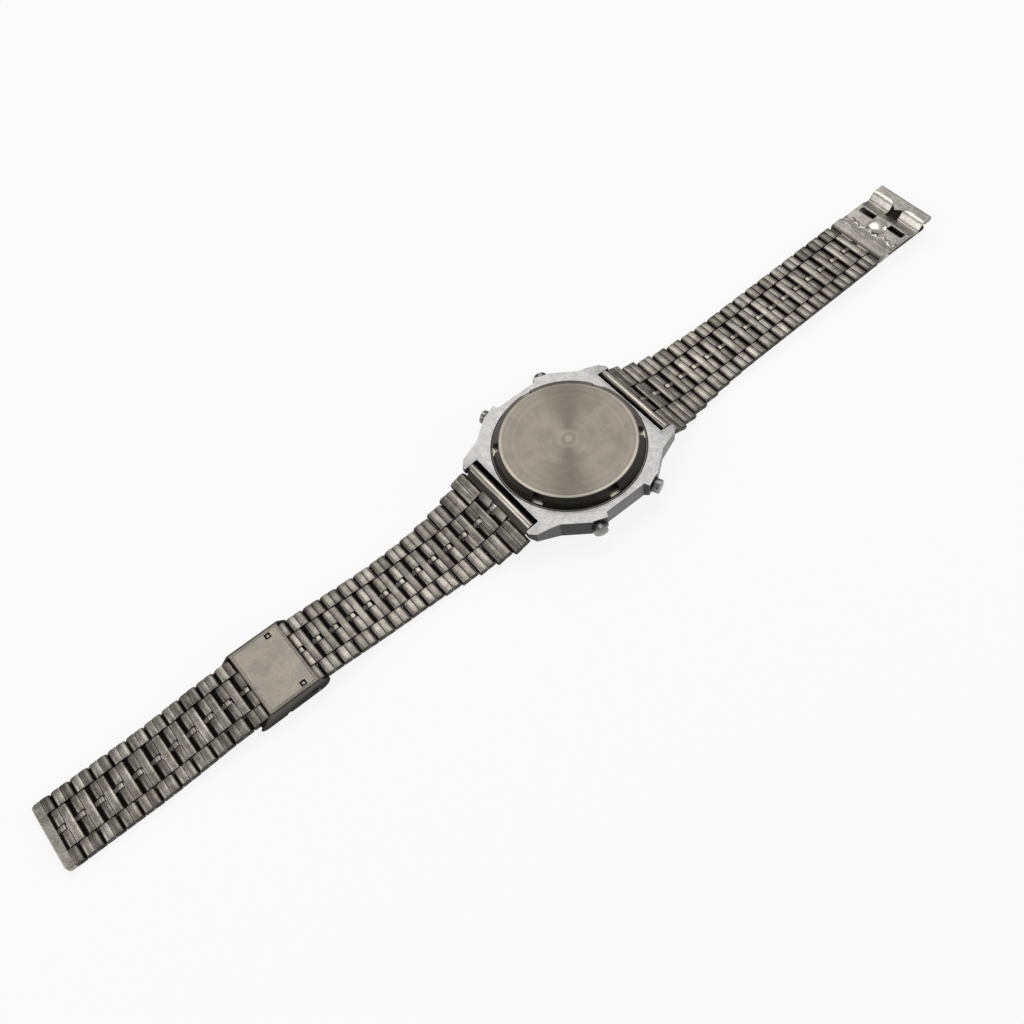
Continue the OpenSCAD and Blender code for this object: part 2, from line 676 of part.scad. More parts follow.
module hook_plate() color("silver") on_right(hook_links + 1) {
    high = hook_rise + lip_h;
    difference() {
        union() {
            across(-hook_w / 2, hook_w / 2) hook_section();
            across(-hook_w / 2, hook_w / 2) bar_section(-collar_back, collar_len, collar_t, 0.8);
            // Raised middle tongue between the latch slots
            across(0.5 - slot_y, slot_y - 0.5) polygon([[4.1, hook_rise], [4.9, hook_rise + 0.75],
                [5.8, hook_rise + 0.95], [6.9, hook_rise + 0.75], [7.9, hook_rise]]);
        }
        // Latch slots and the opening in front of the lip
        both_sides() translate([slot_x, slot_y, -2]) cube([slot_len, slot_w, 4]);
        translate([window_x0, -window_half, -2]) cube([lip_x - window_x0, 2 * window_half, 5]);
        // Room for the last link's short bars
        across(-outer_in, outer_in) circle(centre_reach + 0.13);
        translate([-2, -outer_in, -2]) cube([2, 2 * outer_in, 2]);
    }
    // Front sheet below the slots and the opening
    across(-hook_w / 2, hook_w / 2) translate([collar_len - 0.4, -collar_t / 2])
        square([lip_x - collar_len + 0.4, under_t]);
    // Pointed tab of the lip, over the opening
    translate([0, 0, high - hook_t / 2]) linear_extrude(hook_t)
        polygon([[lip_x + 0.1, -tab_half], [lip_x + 0.1, tab_half], [lip_x - tab_len, 0]]);
    rotate([90, 0, 0]) cylinder(h = hook_w - 1, r = pin_r, center = true);
}

case();
case_back();
back_gasket();
crystal();
dial_mask();
lcd_panel();
module_frame();
circuit_board();
battery();
pusher(1);  // pusher_1
pusher(2);  // pusher_2
pusher(3);  // pusher_3
pusher(4);  // pusher_4
pusher_springs();
spring_bars();
color("gray") on_left(0) end_link();  // left_end_link
color("gray") on_right(0) end_link();  // right_end_link
for (i = [1 : near_links + far_links]) left_link(i);
clasped_links();
clasp_frame();
clasp_cover();
end_frame();
for (i = [1 : hook_links]) right_link(i);
hook_plate();
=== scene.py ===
"""Looks of a steel digital wristwatch that lies face down with its bracelet spread out."""
import json
import logging
import math
from contextlib import contextmanager
from dataclasses import dataclass, field
from enum import Enum
from typing import Callable, Iterator, Sequence

import bmesh
import bpy
from mathutils import Matrix, Vector

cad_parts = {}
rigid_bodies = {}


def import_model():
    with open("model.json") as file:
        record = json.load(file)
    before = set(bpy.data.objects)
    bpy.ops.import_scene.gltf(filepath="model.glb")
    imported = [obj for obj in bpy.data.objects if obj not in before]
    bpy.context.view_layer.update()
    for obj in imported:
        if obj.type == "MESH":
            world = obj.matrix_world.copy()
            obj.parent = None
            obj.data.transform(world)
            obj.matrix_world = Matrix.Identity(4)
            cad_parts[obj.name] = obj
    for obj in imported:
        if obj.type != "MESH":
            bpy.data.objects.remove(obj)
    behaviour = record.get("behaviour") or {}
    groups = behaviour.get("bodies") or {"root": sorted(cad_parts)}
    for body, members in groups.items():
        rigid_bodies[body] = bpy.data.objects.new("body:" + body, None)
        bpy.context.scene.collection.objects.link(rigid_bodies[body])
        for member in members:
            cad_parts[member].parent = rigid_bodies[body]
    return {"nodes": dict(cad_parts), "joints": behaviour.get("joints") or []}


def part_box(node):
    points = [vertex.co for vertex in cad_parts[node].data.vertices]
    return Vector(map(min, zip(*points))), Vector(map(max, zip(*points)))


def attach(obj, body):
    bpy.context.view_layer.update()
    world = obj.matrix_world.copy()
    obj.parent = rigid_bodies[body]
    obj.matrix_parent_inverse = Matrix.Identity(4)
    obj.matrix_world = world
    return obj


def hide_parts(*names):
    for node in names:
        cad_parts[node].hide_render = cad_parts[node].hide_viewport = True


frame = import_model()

MM = 0.001
TURN = 2 * math.pi
LOG = logging.getLogger("wristwatch")

Colour = tuple[float, float, float]
Triple = tuple[float, float, float]


# Editing meshes, in millimetres

class Kind(Enum):
    """What an edit picks."""

    VERT = "VERT"
    EDGE = "EDGE"
    FACE = "FACE"


class Axis(Enum):
    """A direction that an edge may run in."""

    X = 0
    Y = 1
    Z = 2


def take_only(piece: bpy.types.Object) -> None:
    """Deselects everything, then selects one piece and makes it active.

    Args:
        piece: The piece to select.
    """
    for other in bpy.context.view_layer.objects:
        other.select_set(False)
    piece.select_set(True)
    bpy.context.view_layer.objects.active = piece


@contextmanager
def editing(piece: bpy.types.Object) -> Iterator[None]:
    """Holds one piece in edit mode while the block runs.

    Args:
        piece: The piece to edit.
    """
    take_only(piece)
    bpy.ops.object.mode_set(mode="EDIT")
    yield
    bpy.ops.object.mode_set(mode="OBJECT")


def middle(item: object) -> Vector:
    """Gives the middle of a vertex, an edge or a face.

    Args:
        item: The vertex, edge or face.

    Returns:
        Its middle.
    """
    if isinstance(item, bmesh.types.BMVert):
        return item.co
    if isinstance(item, bmesh.types.BMEdge):
        return (item.verts[0].co + item.verts[1].co) / 2
    return item.calc_center_median()


def runs(edge: bmesh.types.BMEdge, axis: Axis) -> bool:
    """Says whether an edge runs along an axis."""
    along = edge.verts[1].co - edge.verts[0].co
    return abs(along[axis.value]) > 0.999 * along.length


def pick(kind: Kind, test: Callable[[object], bool]) -> None:
    """Selects what passes a test, in the mesh that is being edited.

    Args:
        kind: Whether vertices, edges or faces are picked.
        test: Takes one of them and says whether it is picked.
    """
    mesh = bpy.context.edit_object.data
    bpy.ops.mesh.select_mode(type=kind.value)
    bpy.ops.mesh.select_all(action="DESELECT")
    shape = bmesh.from_edit_mesh(mesh)
    items = {Kind.VERT: shape.verts, Kind.EDGE: shape.edges, Kind.FACE: shape.faces}[kind]
    for item in [each for each in items if test(each)]:
        item.select_set(True)
    shape.select_flush_mode()
    bmesh.update_edit_mesh(mesh)


def bake_place(piece: bpy.types.Object, name: str) -> bpy.types.Object:
    """Names a new primitive and moves its place, turn and size into its mesh.

    Args:
        piece: The primitive, which is active.
        name: Its name.

    Returns:
        The same piece.
    """
    piece.name = name
    bpy.ops.object.transform_apply(location=True, rotation=True, scale=True)
    return piece


def block(name: str, low: Triple, high: Triple) -> bpy.types.Object:
    """Adds a box between two corners.

    Args:
        name: The box's name.
        low: Its lowest corner.
        high: Its highest corner.

    Returns:
        The box.
    """
    place = [(a + b) / 2 for a, b in zip(low, high)]
    size = [b - a for a, b in zip(low, high)]
    bpy.ops.mesh.primitive_cube_add(size=1, location=place, scale=size)
    take_only(bpy.context.object)
    return bake_place(bpy.context.object, name)


def rod(name: str, radius: float, start: Triple, end: Triple, sides: int = 32) -> bpy.types.Object:
    """Adds a round bar between two points.

    Args:
        name: The bar's name.
        radius: Its radius.
        start: The middle of its first end.
        end: The middle of its other end.
        sides: The number of its sides.

    Returns:
        The bar.
    """
    along = Vector(end) - Vector(start)
    turn = along.to_track_quat("Z", "Y").to_euler()
    bpy.ops.mesh.primitive_cylinder_add(vertices=sides, radius=radius, depth=along.length,
                                        location=(Vector(start) + Vector(end)) / 2, rotation=turn)
    take_only(bpy.context.object)
    return bake_place(bpy.context.object, name)


def grid(name: str, low: Sequence[float], high: Sequence[float], cells: tuple[int, int],
         place: Callable[[float, float], Triple]) -> bpy.types.Object:
    """Adds a sheet whose points are placed by a rule.

    Args:
        name: The sheet's name.
        low: The lowest pair of the two values that the rule takes.
        high: The highest pair of them.
        cells: The number of cells along each.
        place: Gives a point for each pair of values.

    Returns:
        The sheet, without thickness.
    """
    bpy.ops.mesh.primitive_grid_add(x_subdivisions=cells[0], y_subdivisions=cells[1], size=1)
    sheet = bpy.context.object
    take_only(sheet)
    for vert in sheet.data.vertices:
        first = low[0] + (high[0] - low[0]) * (vert.co.x + 0.5)
        second = low[1] + (high[1] - low[1]) * (vert.co.y + 0.5)
        vert.co = place(first, second)
    return bake_place(sheet, name)


def round_over(piece: bpy.types.Object, test: Callable[[bmesh.types.BMEdge], bool], width: float,
               segments: int = 3) -> None:
    """Rounds the edges that pass a test, in edit mode.

    Args:
        piece: The piece to edit.
        test: Takes an edge and says whether it is rounded.
        width: The width of the rounding.
        segments: The number of strips across it.
    """
    with editing(piece):
        pick(Kind.EDGE, test)
        bpy.ops.mesh.bevel(offset=width, segments=segments, affect="EDGES", profile=0.5)


def apply_modifier(piece: bpy.types.Object, kind: str, **values: object) -> None:
    """Adds a modifier and applies it.

    Args:
        piece: The piece to change.
        kind: The modifier's type.
        **values: Its settings.
    """
    take_only(piece)
    modifier = piece.modifiers.new(kind.lower(), kind)
    for key, value in values.items():
        setattr(modifier, key, value)
    bpy.ops.object.modifier_apply(modifier=modifier.name)


def soften(piece: bpy.types.Object, width: float, segments: int = 2, angle: float = 35) -> None:
    """Rounds all edges that are sharper than an angle in degrees."""
    apply_modifier(piece, "BEVEL", width=width, segments=segments, limit_method="ANGLE",
                   angle_limit=math.radians(angle))


def edged(piece: bpy.types.Object, width: float = 0.03) -> bpy.types.Object:
    """Takes the sharpness off a small part's edges and gives it back."""
    soften(piece, width, 1)
    return piece


def stretch(piece: bpy.types.Object, test: Callable[[bmesh.types.BMVert], bool], factor: float,
            axis: Axis, about: float) -> None:
    """Stretches the vertices that pass a test along one axis, in edit mode.

    Args:
        piece: The piece to edit.
        test: Takes a vertex and says whether it moves.
        factor: How much the distances grow.
        axis: The axis along which they grow.
        about: The place on that axis that stays.
    """
    size = [1.0, 1.0, 1.0]
    size[axis.value] = factor
    hub = [0.0, 0.0, 0.0]
    hub[axis.value] = about
    with editing(piece):
        pick(Kind.VERT, test)
        bpy.ops.transform.resize(value=size, center_override=hub)


def slice_off(piece: bpy.types.Object, point: Triple, normal: Triple) -> None:
    """Cuts a piece with a plane and removes what lies on the side that the normal points to.

    Args:
        piece: The piece to cut.
        point: A point of the plane.
        normal: The way the plane faces.
    """
    with editing(piece):
        bpy.ops.mesh.select_all(action="SELECT")
        bpy.ops.mesh.bisect(plane_co=point, plane_no=normal, use_fill=True, clear_outer=True)


def cut(piece: bpy.types.Object, *tools: bpy.types.Object) -> None:
    """Cuts the tools' shapes out of a piece and removes the tools.

    Args:
        piece: The piece to cut.
        *tools: The shapes to take out of it.
    """
    for tool in tools:
        apply_modifier(piece, "BOOLEAN", operation="DIFFERENCE", object=tool, solver="EXACT")
        bpy.data.objects.remove(tool)


def join(pieces: Sequence[bpy.types.Object], name: str) -> bpy.types.Object:
    """Makes several pieces one object.

    Args:
        pieces: The pieces, which end up as loose parts of the first.
        name: The name of the result.

    Returns:
        The joined piece.
    """
    take_only(pieces[0])
    for piece in pieces[1:]:
        piece.select_set(True)
    if len(pieces) > 1:
        bpy.ops.object.join()
    pieces[0].name = name
    return pieces[0]


def copy_of(piece: bpy.types.Object, name: str, move: Triple = (0, 0, 0)) -> bpy.types.Object:
    """Copies a piece with a mesh of its own.

    Args:
        piece: The piece to copy.
        name: The copy's name.
        move: How far the copy's mesh is moved.

    Returns:
        The copy.
    """
    twin = piece.copy()
    twin.data = piece.data.copy()
    twin.name = name
    twin.data.transform(Matrix.Translation(move))
    bpy.context.scene.collection.objects.link(twin)
    return twin


def solid_copy(node: str) -> bpy.types.Object:
    """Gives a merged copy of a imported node, in millimetres, ready to be rounded.

    Args:
        node: The node's name.

    Returns:
        The copy.
    """
    twin = copy_of(frame["nodes"][node], node + "_shape")
    for key in list(twin.keys()):
        del twin[key]
    twin.parent = None
    twin.data.transform(Matrix.Scale(1 / MM, 4))
    with editing(twin):
        bpy.ops.mesh.select_all(action="SELECT")
        bpy.ops.mesh.remove_doubles(threshold=0.002)
        bpy.ops.mesh.dissolve_limited(angle_limit=math.radians(1))
    if twin.data.has_custom_normals:
        bpy.ops.mesh.customdata_custom_splitnormals_clear()
    return twin


def mark(piece: bpy.types.Object, name: str, rule: Callable[[Vector], float]) -> None:
    """Stores a value at each vertex for the materials.

    Args:
        piece: The piece, in its own place in millimetres.
        name: The attribute's name.
        rule: Gives the value at a point.
    """
    layer = piece.data.attributes.new(name, "FLOAT", "POINT")
    layer.data.foreach_set("value", [rule(vert.co) for vert in piece.data.vertices])


def mark_faces(piece: bpy.types.Object, name: str, rule: Callable[[Vector, Vector], float]) -> None:
    """Stores a value on each face for the materials.

    Args:
        piece: The piece, in its own place in millimetres.
        name: The attribute's name.
        rule: Gives the value from a face's middle and its normal.
    """
    layer = piece.data.attributes.new(name, "FLOAT", "FACE")
    layer.data.foreach_set("value", [rule(face.center, face.normal) for face in piece.data.polygons])


def clamp(value: float) -> float:
    """Holds a value between 0 and 1."""
    return max(0.0, min(1.0, value))


def s_curve(share: float) -> float:
    """Eases a share of the way from 0 to 1."""
    return (1 - math.cos(math.pi * clamp(share))) / 2


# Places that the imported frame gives

HINGES: dict[str, dict] = {joint["child"]: joint for joint in frame["joints"]}


def pin_of(body: str) -> Vector:
    """Gives the middle of a body's hinge pin, in metres.

    Args:
        body: The body that turns on the pin.

    Returns:
        The middle of the pin.
    """
    low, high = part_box(body)
    pin = Vector(HINGES[body]["pos_m"])
    pin.y = (low[1] + high[1]) / 2
    return pin


def along_strap(body: str, ahead: str, behind: str | None = None) -> Matrix:
    """Gives the place of a strap piece whose pin is at the origin and whose length runs along X.

    Args:
        body: The piece.
        ahead: The piece that its length points to.
        behind: The piece before it, given instead of ahead for the last piece of a strap.

    Returns:
        The matrix that turns its millimetres into the frame's metres.
    """
    start = pin_of(body)
    length = start - pin_of(behind) if behind else pin_of(ahead) - start
    length.y = 0
    length.normalize()
    across = Vector((0, math.copysign(1, length.x), 0))
    up = length.cross(across)
    turn = Matrix((length, across, up)).transposed().to_4x4()
    return Matrix.Translation(start) @ turn @ Matrix.Scale(MM, 4)


def finish_piece(piece: bpy.types.Object, body: str, material: bpy.types.Material,
                 nodes: Sequence[str] = (), place: Matrix | None = None, smooth: float = 38,
                 flat: bool = False) -> None:
    """Puts a piece in its place, dresses it and lets it ride on its body.

    Args:
        piece: The piece, in millimetres.
        body: The body that it moves with.
        material: Its finish.
        nodes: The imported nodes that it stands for.
        place: The matrix that brings it to the frame in metres.
        smooth: The angle in degrees up to which its faces shade smoothly.
        flat: Whether its large faces keep their own even shade beside their rounded edges.
    """
    piece.data.transform(place if place is not None else Matrix.Scale(MM, 4))
    take_only(piece)
    bpy.ops.object.shade_smooth_by_angle(angle=math.radians(smooth))
    if flat:
        apply_modifier(piece, "WEIGHTED_NORMAL", mode="FACE_AREA", weight=90, keep_sharp=True)
    piece.data.materials.clear()
    piece.data.materials.append(material)
    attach(piece, body)
    if nodes:
        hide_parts(*nodes)
    LOG.info("%s: %d faces on %s", piece.name, len(piece.data.polygons), body)


# Shader graphs

class Graph:
    """A short way to write a shader node tree."""

    def __init__(self, tree: bpy.types.NodeTree) -> None:
        """Starts on an empty tree."""
        self.tree = tree
        tree.nodes.clear()

    def node(self, kind: str, inputs: dict | None = None, **settings: object) -> bpy.types.Node:
        """Adds a node.

        Args:
            kind: The node's type, without its ShaderNode prefix.
            inputs: A value or a socket for each input, by name or number.
            **settings: The node's own settings.

        Returns:
            The node.
        """
        made = self.tree.nodes.new("ShaderNode" + kind)
        for key, value in settings.items():
            setattr(made, key, value)
        for key, value in (inputs or {}).items():
            if isinstance(value, bpy.types.NodeSocket):
                self.tree.links.new(value, made.inputs[key])
            else:
                made.inputs[key].default_value = value
        return made

    def math(self, operation: str, first: object, second: object = 0.0) -> bpy.types.NodeSocket:
        """Gives the result of a maths operation on one or two values."""
        return self.node("Math", {0: first, 1: second}, operation=operation).outputs[0]

    def spread(self, value: object, low: float, high: float, to_low: float = 0.0,
               to_high: float = 1.0) -> bpy.types.NodeSocket:
        """Eases a value from one range into another, and holds it there."""
        inputs = {"Value": value, "From Min": low, "From Max": high, "To Min": to_low, "To Max": to_high}
        return self.node("MapRange", inputs, interpolation_type="SMOOTHSTEP").outputs[0]

    def blend(self, share: object, first: object, second: object, kind: str = "MIX") -> bpy.types.NodeSocket:
        """Mixes two colours by a share."""
        made = self.node("Mix", {0: share, 6: opaque(first), 7: opaque(second)}, data_type="RGBA", blend_type=kind)
        return made.outputs[2]

    def shade(self, colour: object, value: object) -> bpy.types.NodeSocket:
        """Multiplies a colour by a value."""
        grey = self.node("CombineXYZ", {0: value, 1: value, 2: value}).outputs[0]
        return self.blend(1.0, colour, grey, "MULTIPLY")

    def stretched(self, place: bpy.types.NodeSocket, scale: Triple) -> bpy.types.NodeSocket:
        """Scales coordinates along each axis."""
        return self.node("Mapping", {"Vector": place, "Scale": scale}).outputs[0]

    def group(self, tree: bpy.types.NodeTree, inputs: dict) -> bpy.types.Node:
        """Adds a node group with its inputs.

        Args:
            tree: The node group.
            inputs: A value or a socket for each input, by name.

        Returns:
            The node that holds the group.
        """
        made = self.tree.nodes.new("ShaderNodeGroup")
        made.node_tree = tree
        for key, value in inputs.items():
            if isinstance(value, bpy.types.NodeSocket):
                self.tree.links.new(value, made.inputs[key])
            else:
                made.inputs[key].default_value = value
        return made


def opaque(colour: object) -> object:
    """Adds full alpha to a plain colour and leaves a socket alone."""
    return (*colour, 1.0) if isinstance(colour, tuple) and len(colour) == 3 else colour


def open_group(name: str, inputs: dict[str, str], outputs: dict[str, str]) -> tuple[Graph, dict, bpy.types.Node]:
    """Starts a shader node group.

    Args:
        name: The group's name.
        inputs: The socket type of each input.
        outputs: The socket type of each output.

    Returns:
        The graph, the input sockets by name, and the output node.
    """
    tree = bpy.data.node_groups.new(name, "ShaderNodeTree")
    for key, kind in inputs.items():
        tree.interface.new_socket(key, in_out="INPUT", socket_type=kind)
    for key, kind in outputs.items():
        tree.interface.new_socket(key, in_out="OUTPUT", socket_type=kind)
    graph = Graph(tree)
    entry = tree.nodes.new("NodeGroupInput")
    leave = tree.nodes.new("NodeGroupOutput")
    return graph, {key: entry.outputs[key] for key in inputs}, leave


def grain_group() -> bpy.types.NodeTree:
    """Builds the fine grain of a brushed or plated surface.

    Returns:
        The node group.
    """
    graph, given, leave = open_group("surface_grain", {"Vector": "NodeSocketVector"},
                                     {"Shade": "NodeSocketFloat", "Height": "NodeSocketFloat"})
    fine = graph.node("TexNoise", {"Vector": given["Vector"], "Scale": 1.0, "Detail": 4.0, "Roughness": 0.65})
    graph.tree.links.new(graph.spread(fine.outputs[0], 0.3, 0.7), leave.inputs["Shade"])
    graph.tree.links.new(fine.outputs[0], leave.inputs["Height"])
    return graph.tree


def age_group() -> bpy.types.NodeTree:
    """Builds the cloudy stains, dark specks and thin scratches of a worn surface.

    Returns:
        The node group.
    """
    graph, given, leave = open_group("age_marks", {"Vector": "NodeSocketVector"},
                                     {"Stain": "NodeSocketFloat", "Speck": "NodeSocketFloat",
                                      "Scratch": "NodeSocketFloat"})
    cloud = graph.node("TexNoise", {"Vector": given["Vector"], "Scale": 1.0, "Detail": 5.0, "Roughness": 0.6,
                                    "Distortion": 0.4})
    speck = graph.node("TexNoise", {"Vector": given["Vector"], "Scale": 7.0, "Detail": 2.0, "Roughness": 0.5})
    bent = graph.blend(0.12, given["Vector"], cloud.outputs["Color"])
    line = graph.node("TexVoronoi", {"Vector": bent, "Scale": 1.6}, feature="DISTANCE_TO_EDGE")
    broken = graph.spread(speck.outputs[0], 0.45, 0.6)
    thin = graph.spread(line.outputs["Distance"], 0.0, 0.012, 1.0, 0.0)
    graph.tree.links.new(graph.spread(cloud.outputs[0], 0.38, 0.64), leave.inputs["Stain"])
    graph.tree.links.new(graph.spread(speck.outputs[0], 0.66, 0.74), leave.inputs["Speck"])
    graph.tree.links.new(graph.math("MULTIPLY", thin, broken), leave.inputs["Scratch"])
    return graph.tree


def turning_group() -> bpy.types.NodeTree:
    """Builds the rings, bands and sweep angle of a surface that was turned about the Z axis.

    Returns:
        The node group.
    """
    graph, given, leave = open_group("turning_marks", {"Vector": "NodeSocketVector"},
                                     {"Radius": "NodeSocketFloat", "Rings": "NodeSocketFloat",
                                      "Bands": "NodeSocketFloat", "Angle": "NodeSocketFloat"})
    parts = graph.node("SeparateXYZ", {0: given["Vector"]}).outputs
    flat = graph.node("CombineXYZ", {0: parts[0], 1: parts[1]}).outputs[0]
    radius = graph.node("VectorMath", {0: flat}, operation="LENGTH").outputs["Value"]
    rings = graph.node("TexNoise", {"W": radius, "Scale": 9.0, "Detail": 4.0, "Roughness": 0.7},
                       noise_dimensions="1D")
    bands = graph.node("TexNoise", {"W": radius, "Scale": 1.3, "Detail": 2.0}, noise_dimensions="1D")
    graph.tree.links.new(radius, leave.inputs["Radius"])
    graph.tree.links.new(rings.outputs[0], leave.inputs["Rings"])
    graph.tree.links.new(bands.outputs[0], leave.inputs["Bands"])
    graph.tree.links.new(graph.math("ARCTAN2", parts[1], parts[0]), leave.inputs["Angle"])
    return graph.tree


GRAIN = grain_group()
AGE = age_group()
TURNING = turning_group()


def open_material(name: str, **values: object) -> tuple[bpy.types.Material, Graph, bpy.types.Node]:
    """Starts a material with one Principled shader.

    Args:
        name: The material's name.
        **values: Constants for the shader's sockets, with underscores for spaces.

    Returns:
        The material, its graph and the shader node.
    """
    material = bpy.data.materials.new(name)
    material.use_nodes = True
    graph = Graph(material.node_tree)
    shader = graph.node("BsdfPrincipled", {key.replace("_", " "): value for key, value in values.items()})
    end = graph.node("OutputMaterial")
    graph.tree.links.new(shader.outputs[0], end.inputs[0])
    return material, graph, shader


@dataclass(frozen=True)
class Steel:
    """Brushed or plated steel, with stains. Painted shade, partly dirt, darkens it towards a dark colour where the
    mesh is marked as low, and painted highlight and shade follow its tone mark.

    The grain and the stains are given in cells per metre.
    """

    name: str
    bright: Colour
    stained: Colour
    shade_and_dirt: Colour
    roughness: float
    grain: Triple
    stain: float
    depth: float = 0.02
    grain_contrast: float = 0.25
    speck: float = 0.5
    scratch: float = 0.3
    tone: float = 0.0

    def build(self) -> bpy.types.Material:
        """Builds the material.

        Returns:
            The material.
        """
        material, graph, shader = open_material(self.name, Metallic=1.0, Specular_IOR_Level=0.5)
        place = graph.node("TexCoord").outputs["Object"]
        grain = graph.group(GRAIN, {"Vector": graph.stretched(place, self.grain)})
        age = graph.group(AGE, {"Vector": graph.stretched(place, (self.stain,) * 3)})
        shade_and_grime = graph.node("Attribute", attribute_name="shade_and_grime").outputs["Fac"]
        tone = graph.node("Attribute", attribute_name="tone").outputs["Fac"]
        colour = graph.blend(age.outputs["Stain"], self.bright, self.stained)
        # Painted highlight and shade: a mark on each face or point brightens or darkens the colour.
        colour = graph.shade(colour, graph.math("ADD", 1.0, graph.math("MULTIPLY", tone, self.tone)))
        low = 1 - self.grain_contrast
        colour = graph.shade(colour, graph.spread(grain.outputs["Shade"], 0, 1, low, 1 + self.grain_contrast))
        colour = graph.blend(graph.math("MULTIPLY", age.outputs["Speck"], self.speck), colour, self.shade_and_dirt)
        colour = graph.blend(graph.math("MULTIPLY", age.outputs["Scratch"], self.scratch), colour, self.bright)
        # Painted shade, with some dirt: a mark on each point darkens the colour towards the dark colour, most in
        # gaps and recesses.
        colour = graph.blend(shade_and_grime, colour, self.shade_and_dirt)
        rough = graph.math("MULTIPLY_ADD", grain.outputs["Shade"], 0.12)
        rough.node.inputs[2].default_value = self.roughness
        rough = graph.math("ADD", rough, graph.math("MULTIPLY", shade_and_grime, 0.2))
        bump = graph.node("Bump", {"Strength": 0.5, "Distance": self.depth * MM,
                                   "Height": graph.math("SUBTRACT", grain.outputs["Height"],
                                                        graph.math("MULTIPLY", age.outputs["Scratch"], 0.5))})
        graph.tree.links.new(colour, shader.inputs["Base Color"])
        graph.tree.links.new(rough, shader.inputs["Roughness"])
        graph.tree.links.new(bump.outputs[0], shader.inputs["Normal"])
        return material


@dataclass(frozen=True)
class SpunSteel:
    """The case back's finish: turned rings with a painted reflection of two broad sweeps darker than the rest, and a
    pale centre.

    Its radii are in millimetres, the angle of its painted sweeps in degrees and its stains in cells per metre.
    """

    name: str = "spun_steel"
    bright: Colour = (0.228, 0.207, 0.172)
    dull: Colour = (0.108, 0.1, 0.085)
    shade_and_dirt: Colour = (0.022, 0.022, 0.018)
    centre: Colour = (0.42, 0.42, 0.38)
    sheen_angle: float = 50
    sheen_power: float = 9
    sheen_depth: float = 0.75
    swirl_r: float = 2.6
    swirl_wave: float = 4.2
    stain: float = 260
    roughness: tuple[float, float] = (0.3, 0.46)

    def build(self) -> bpy.types.Material:
        """Builds the material.

        Returns:
            The material.
        """
        material, graph, shader = open_material(self.name, Metallic=1.0, Anisotropic=0.6)
        place = graph.node("TexCoord").outputs["Object"]
        turned = graph.group(TURNING, {"Vector": graph.stretched(place, (1 / MM,) * 3)})
        age = graph.group(AGE, {"Vector": graph.stretched(place, (self.stain,) * 3)})
        shade_and_grime = graph.node("Attribute", attribute_name="shade_and_grime").outputs["Fac"]
        # Painted reflection: the turned rings are darkened towards the dull colour in two opposite wedges, as a
        # lamp's reflection spreads across them.
        off = graph.math("SUBTRACT", turned.outputs["Angle"], math.radians(self.sheen_angle))
        facing = graph.math("ABSOLUTE", graph.math("COSINE", off))
        sheen_wedge = graph.math("POWER", facing, self.sheen_power)
        reach = graph.spread(turned.outputs["Radius"], 0.5, 3.0)
        sheen_wedge = graph.math("MULTIPLY", sheen_wedge, reach)
        colour = graph.blend(graph.math("MULTIPLY", sheen_wedge, self.sheen_depth), self.bright, self.dull)
        colour = graph.shade(colour, graph.spread(turned.outputs["Bands"], 0.3, 0.7, 0.96, 1.04))
        colour = graph.shade(colour, graph.spread(turned.outputs["Rings"], 0.25, 0.75, 0.94, 1.06))
        swirl = graph.spread(turned.outputs["Radius"], 1.0, self.swirl_r, 1.0, 0.0)
        curl = graph.math("SINE", graph.math("MULTIPLY", turned.outputs["Radius"], self.swirl_wave))
        curl = graph.math("MULTIPLY", graph.spread(curl, -0.9, 1.4), swirl)
        colour = graph.blend(graph.math("MULTIPLY", swirl, 0.35), colour, self.dull)
        colour = graph.blend(graph.math("MULTIPLY", curl, 0.4), colour, self.centre)
        colour = graph.blend(graph.math("MULTIPLY", age.outputs["Stain"], 0.3), colour, self.dull)
        colour = graph.blend(graph.math("MULTIPLY", age.outputs["Speck"], 0.25), colour, self.shade_and_dirt)
        # Painted highlight on the rim, the bead and the slot floors, from their tone mark.
        tone = graph.node("Attribute", attribute_name="tone").outputs["Fac"]
        colour = graph.shade(colour, graph.math("ADD", 1.0, tone))
        # Painted shade, with some dirt, on the wall and on the near side of the chamfer.
        colour = graph.blend(shade_and_grime, colour, self.shade_and_dirt)
        bump = graph.node("Bump", {"Strength": 0.12, "Distance": 0.01 * MM, "Height": turned.outputs["Rings"]})
        tangent = graph.node("Tangent", direction_type="RADIAL", axis="Z")
        graph.tree.links.new(colour, shader.inputs["Base Color"])
        rough = graph.spread(turned.outputs["Rings"], 0.2, 0.8, *self.roughness)
        graph.tree.links.new(rough, shader.inputs["Roughness"])
        graph.tree.links.new(bump.outputs[0], shader.inputs["Normal"])
        graph.tree.links.new(tangent.outputs[0], shader.inputs["Tangent"])
        return material


@dataclass(frozen=True)
class Moulded:
    """Plastic, rubber, lacquer or print, with a fine grain and cloudy variation."""

    name: str
    colour: Colour
    shade: Colour
    roughness: float
    grain: float = 6000.0
    stain: float = 300.0
    metallic: float = 0.0

    def build(self) -> bpy.types.Material:
        """Builds the material.

        Returns:
            The material.
        """
        material, graph, shader = open_material(self.name, Metallic=self.metallic)
        place = graph.node("TexCoord").outputs["Object"]
        grain = graph.group(GRAIN, {"Vector": graph.stretched(place, (self.grain,) * 3)})
        age = graph.group(AGE, {"Vector": graph.stretched(place, (self.stain,) * 3)})
        colour = graph.blend(age.outputs["Stain"], self.colour, self.shade)
        rough = graph.spread(grain.outputs["Shade"], 0, 1, self.roughness, self.roughness + 0.12)
        bump = graph.node("Bump", {"Strength": 0.4, "Distance": 0.02 * MM, "Height": grain.outputs["Height"]})
        graph.tree.links.new(colour, shader.inputs["Base Color"])
        graph.tree.links.new(rough, shader.inputs["Roughness"])
        graph.tree.links.new(bump.outputs[0], shader.inputs["Normal"])
        return material


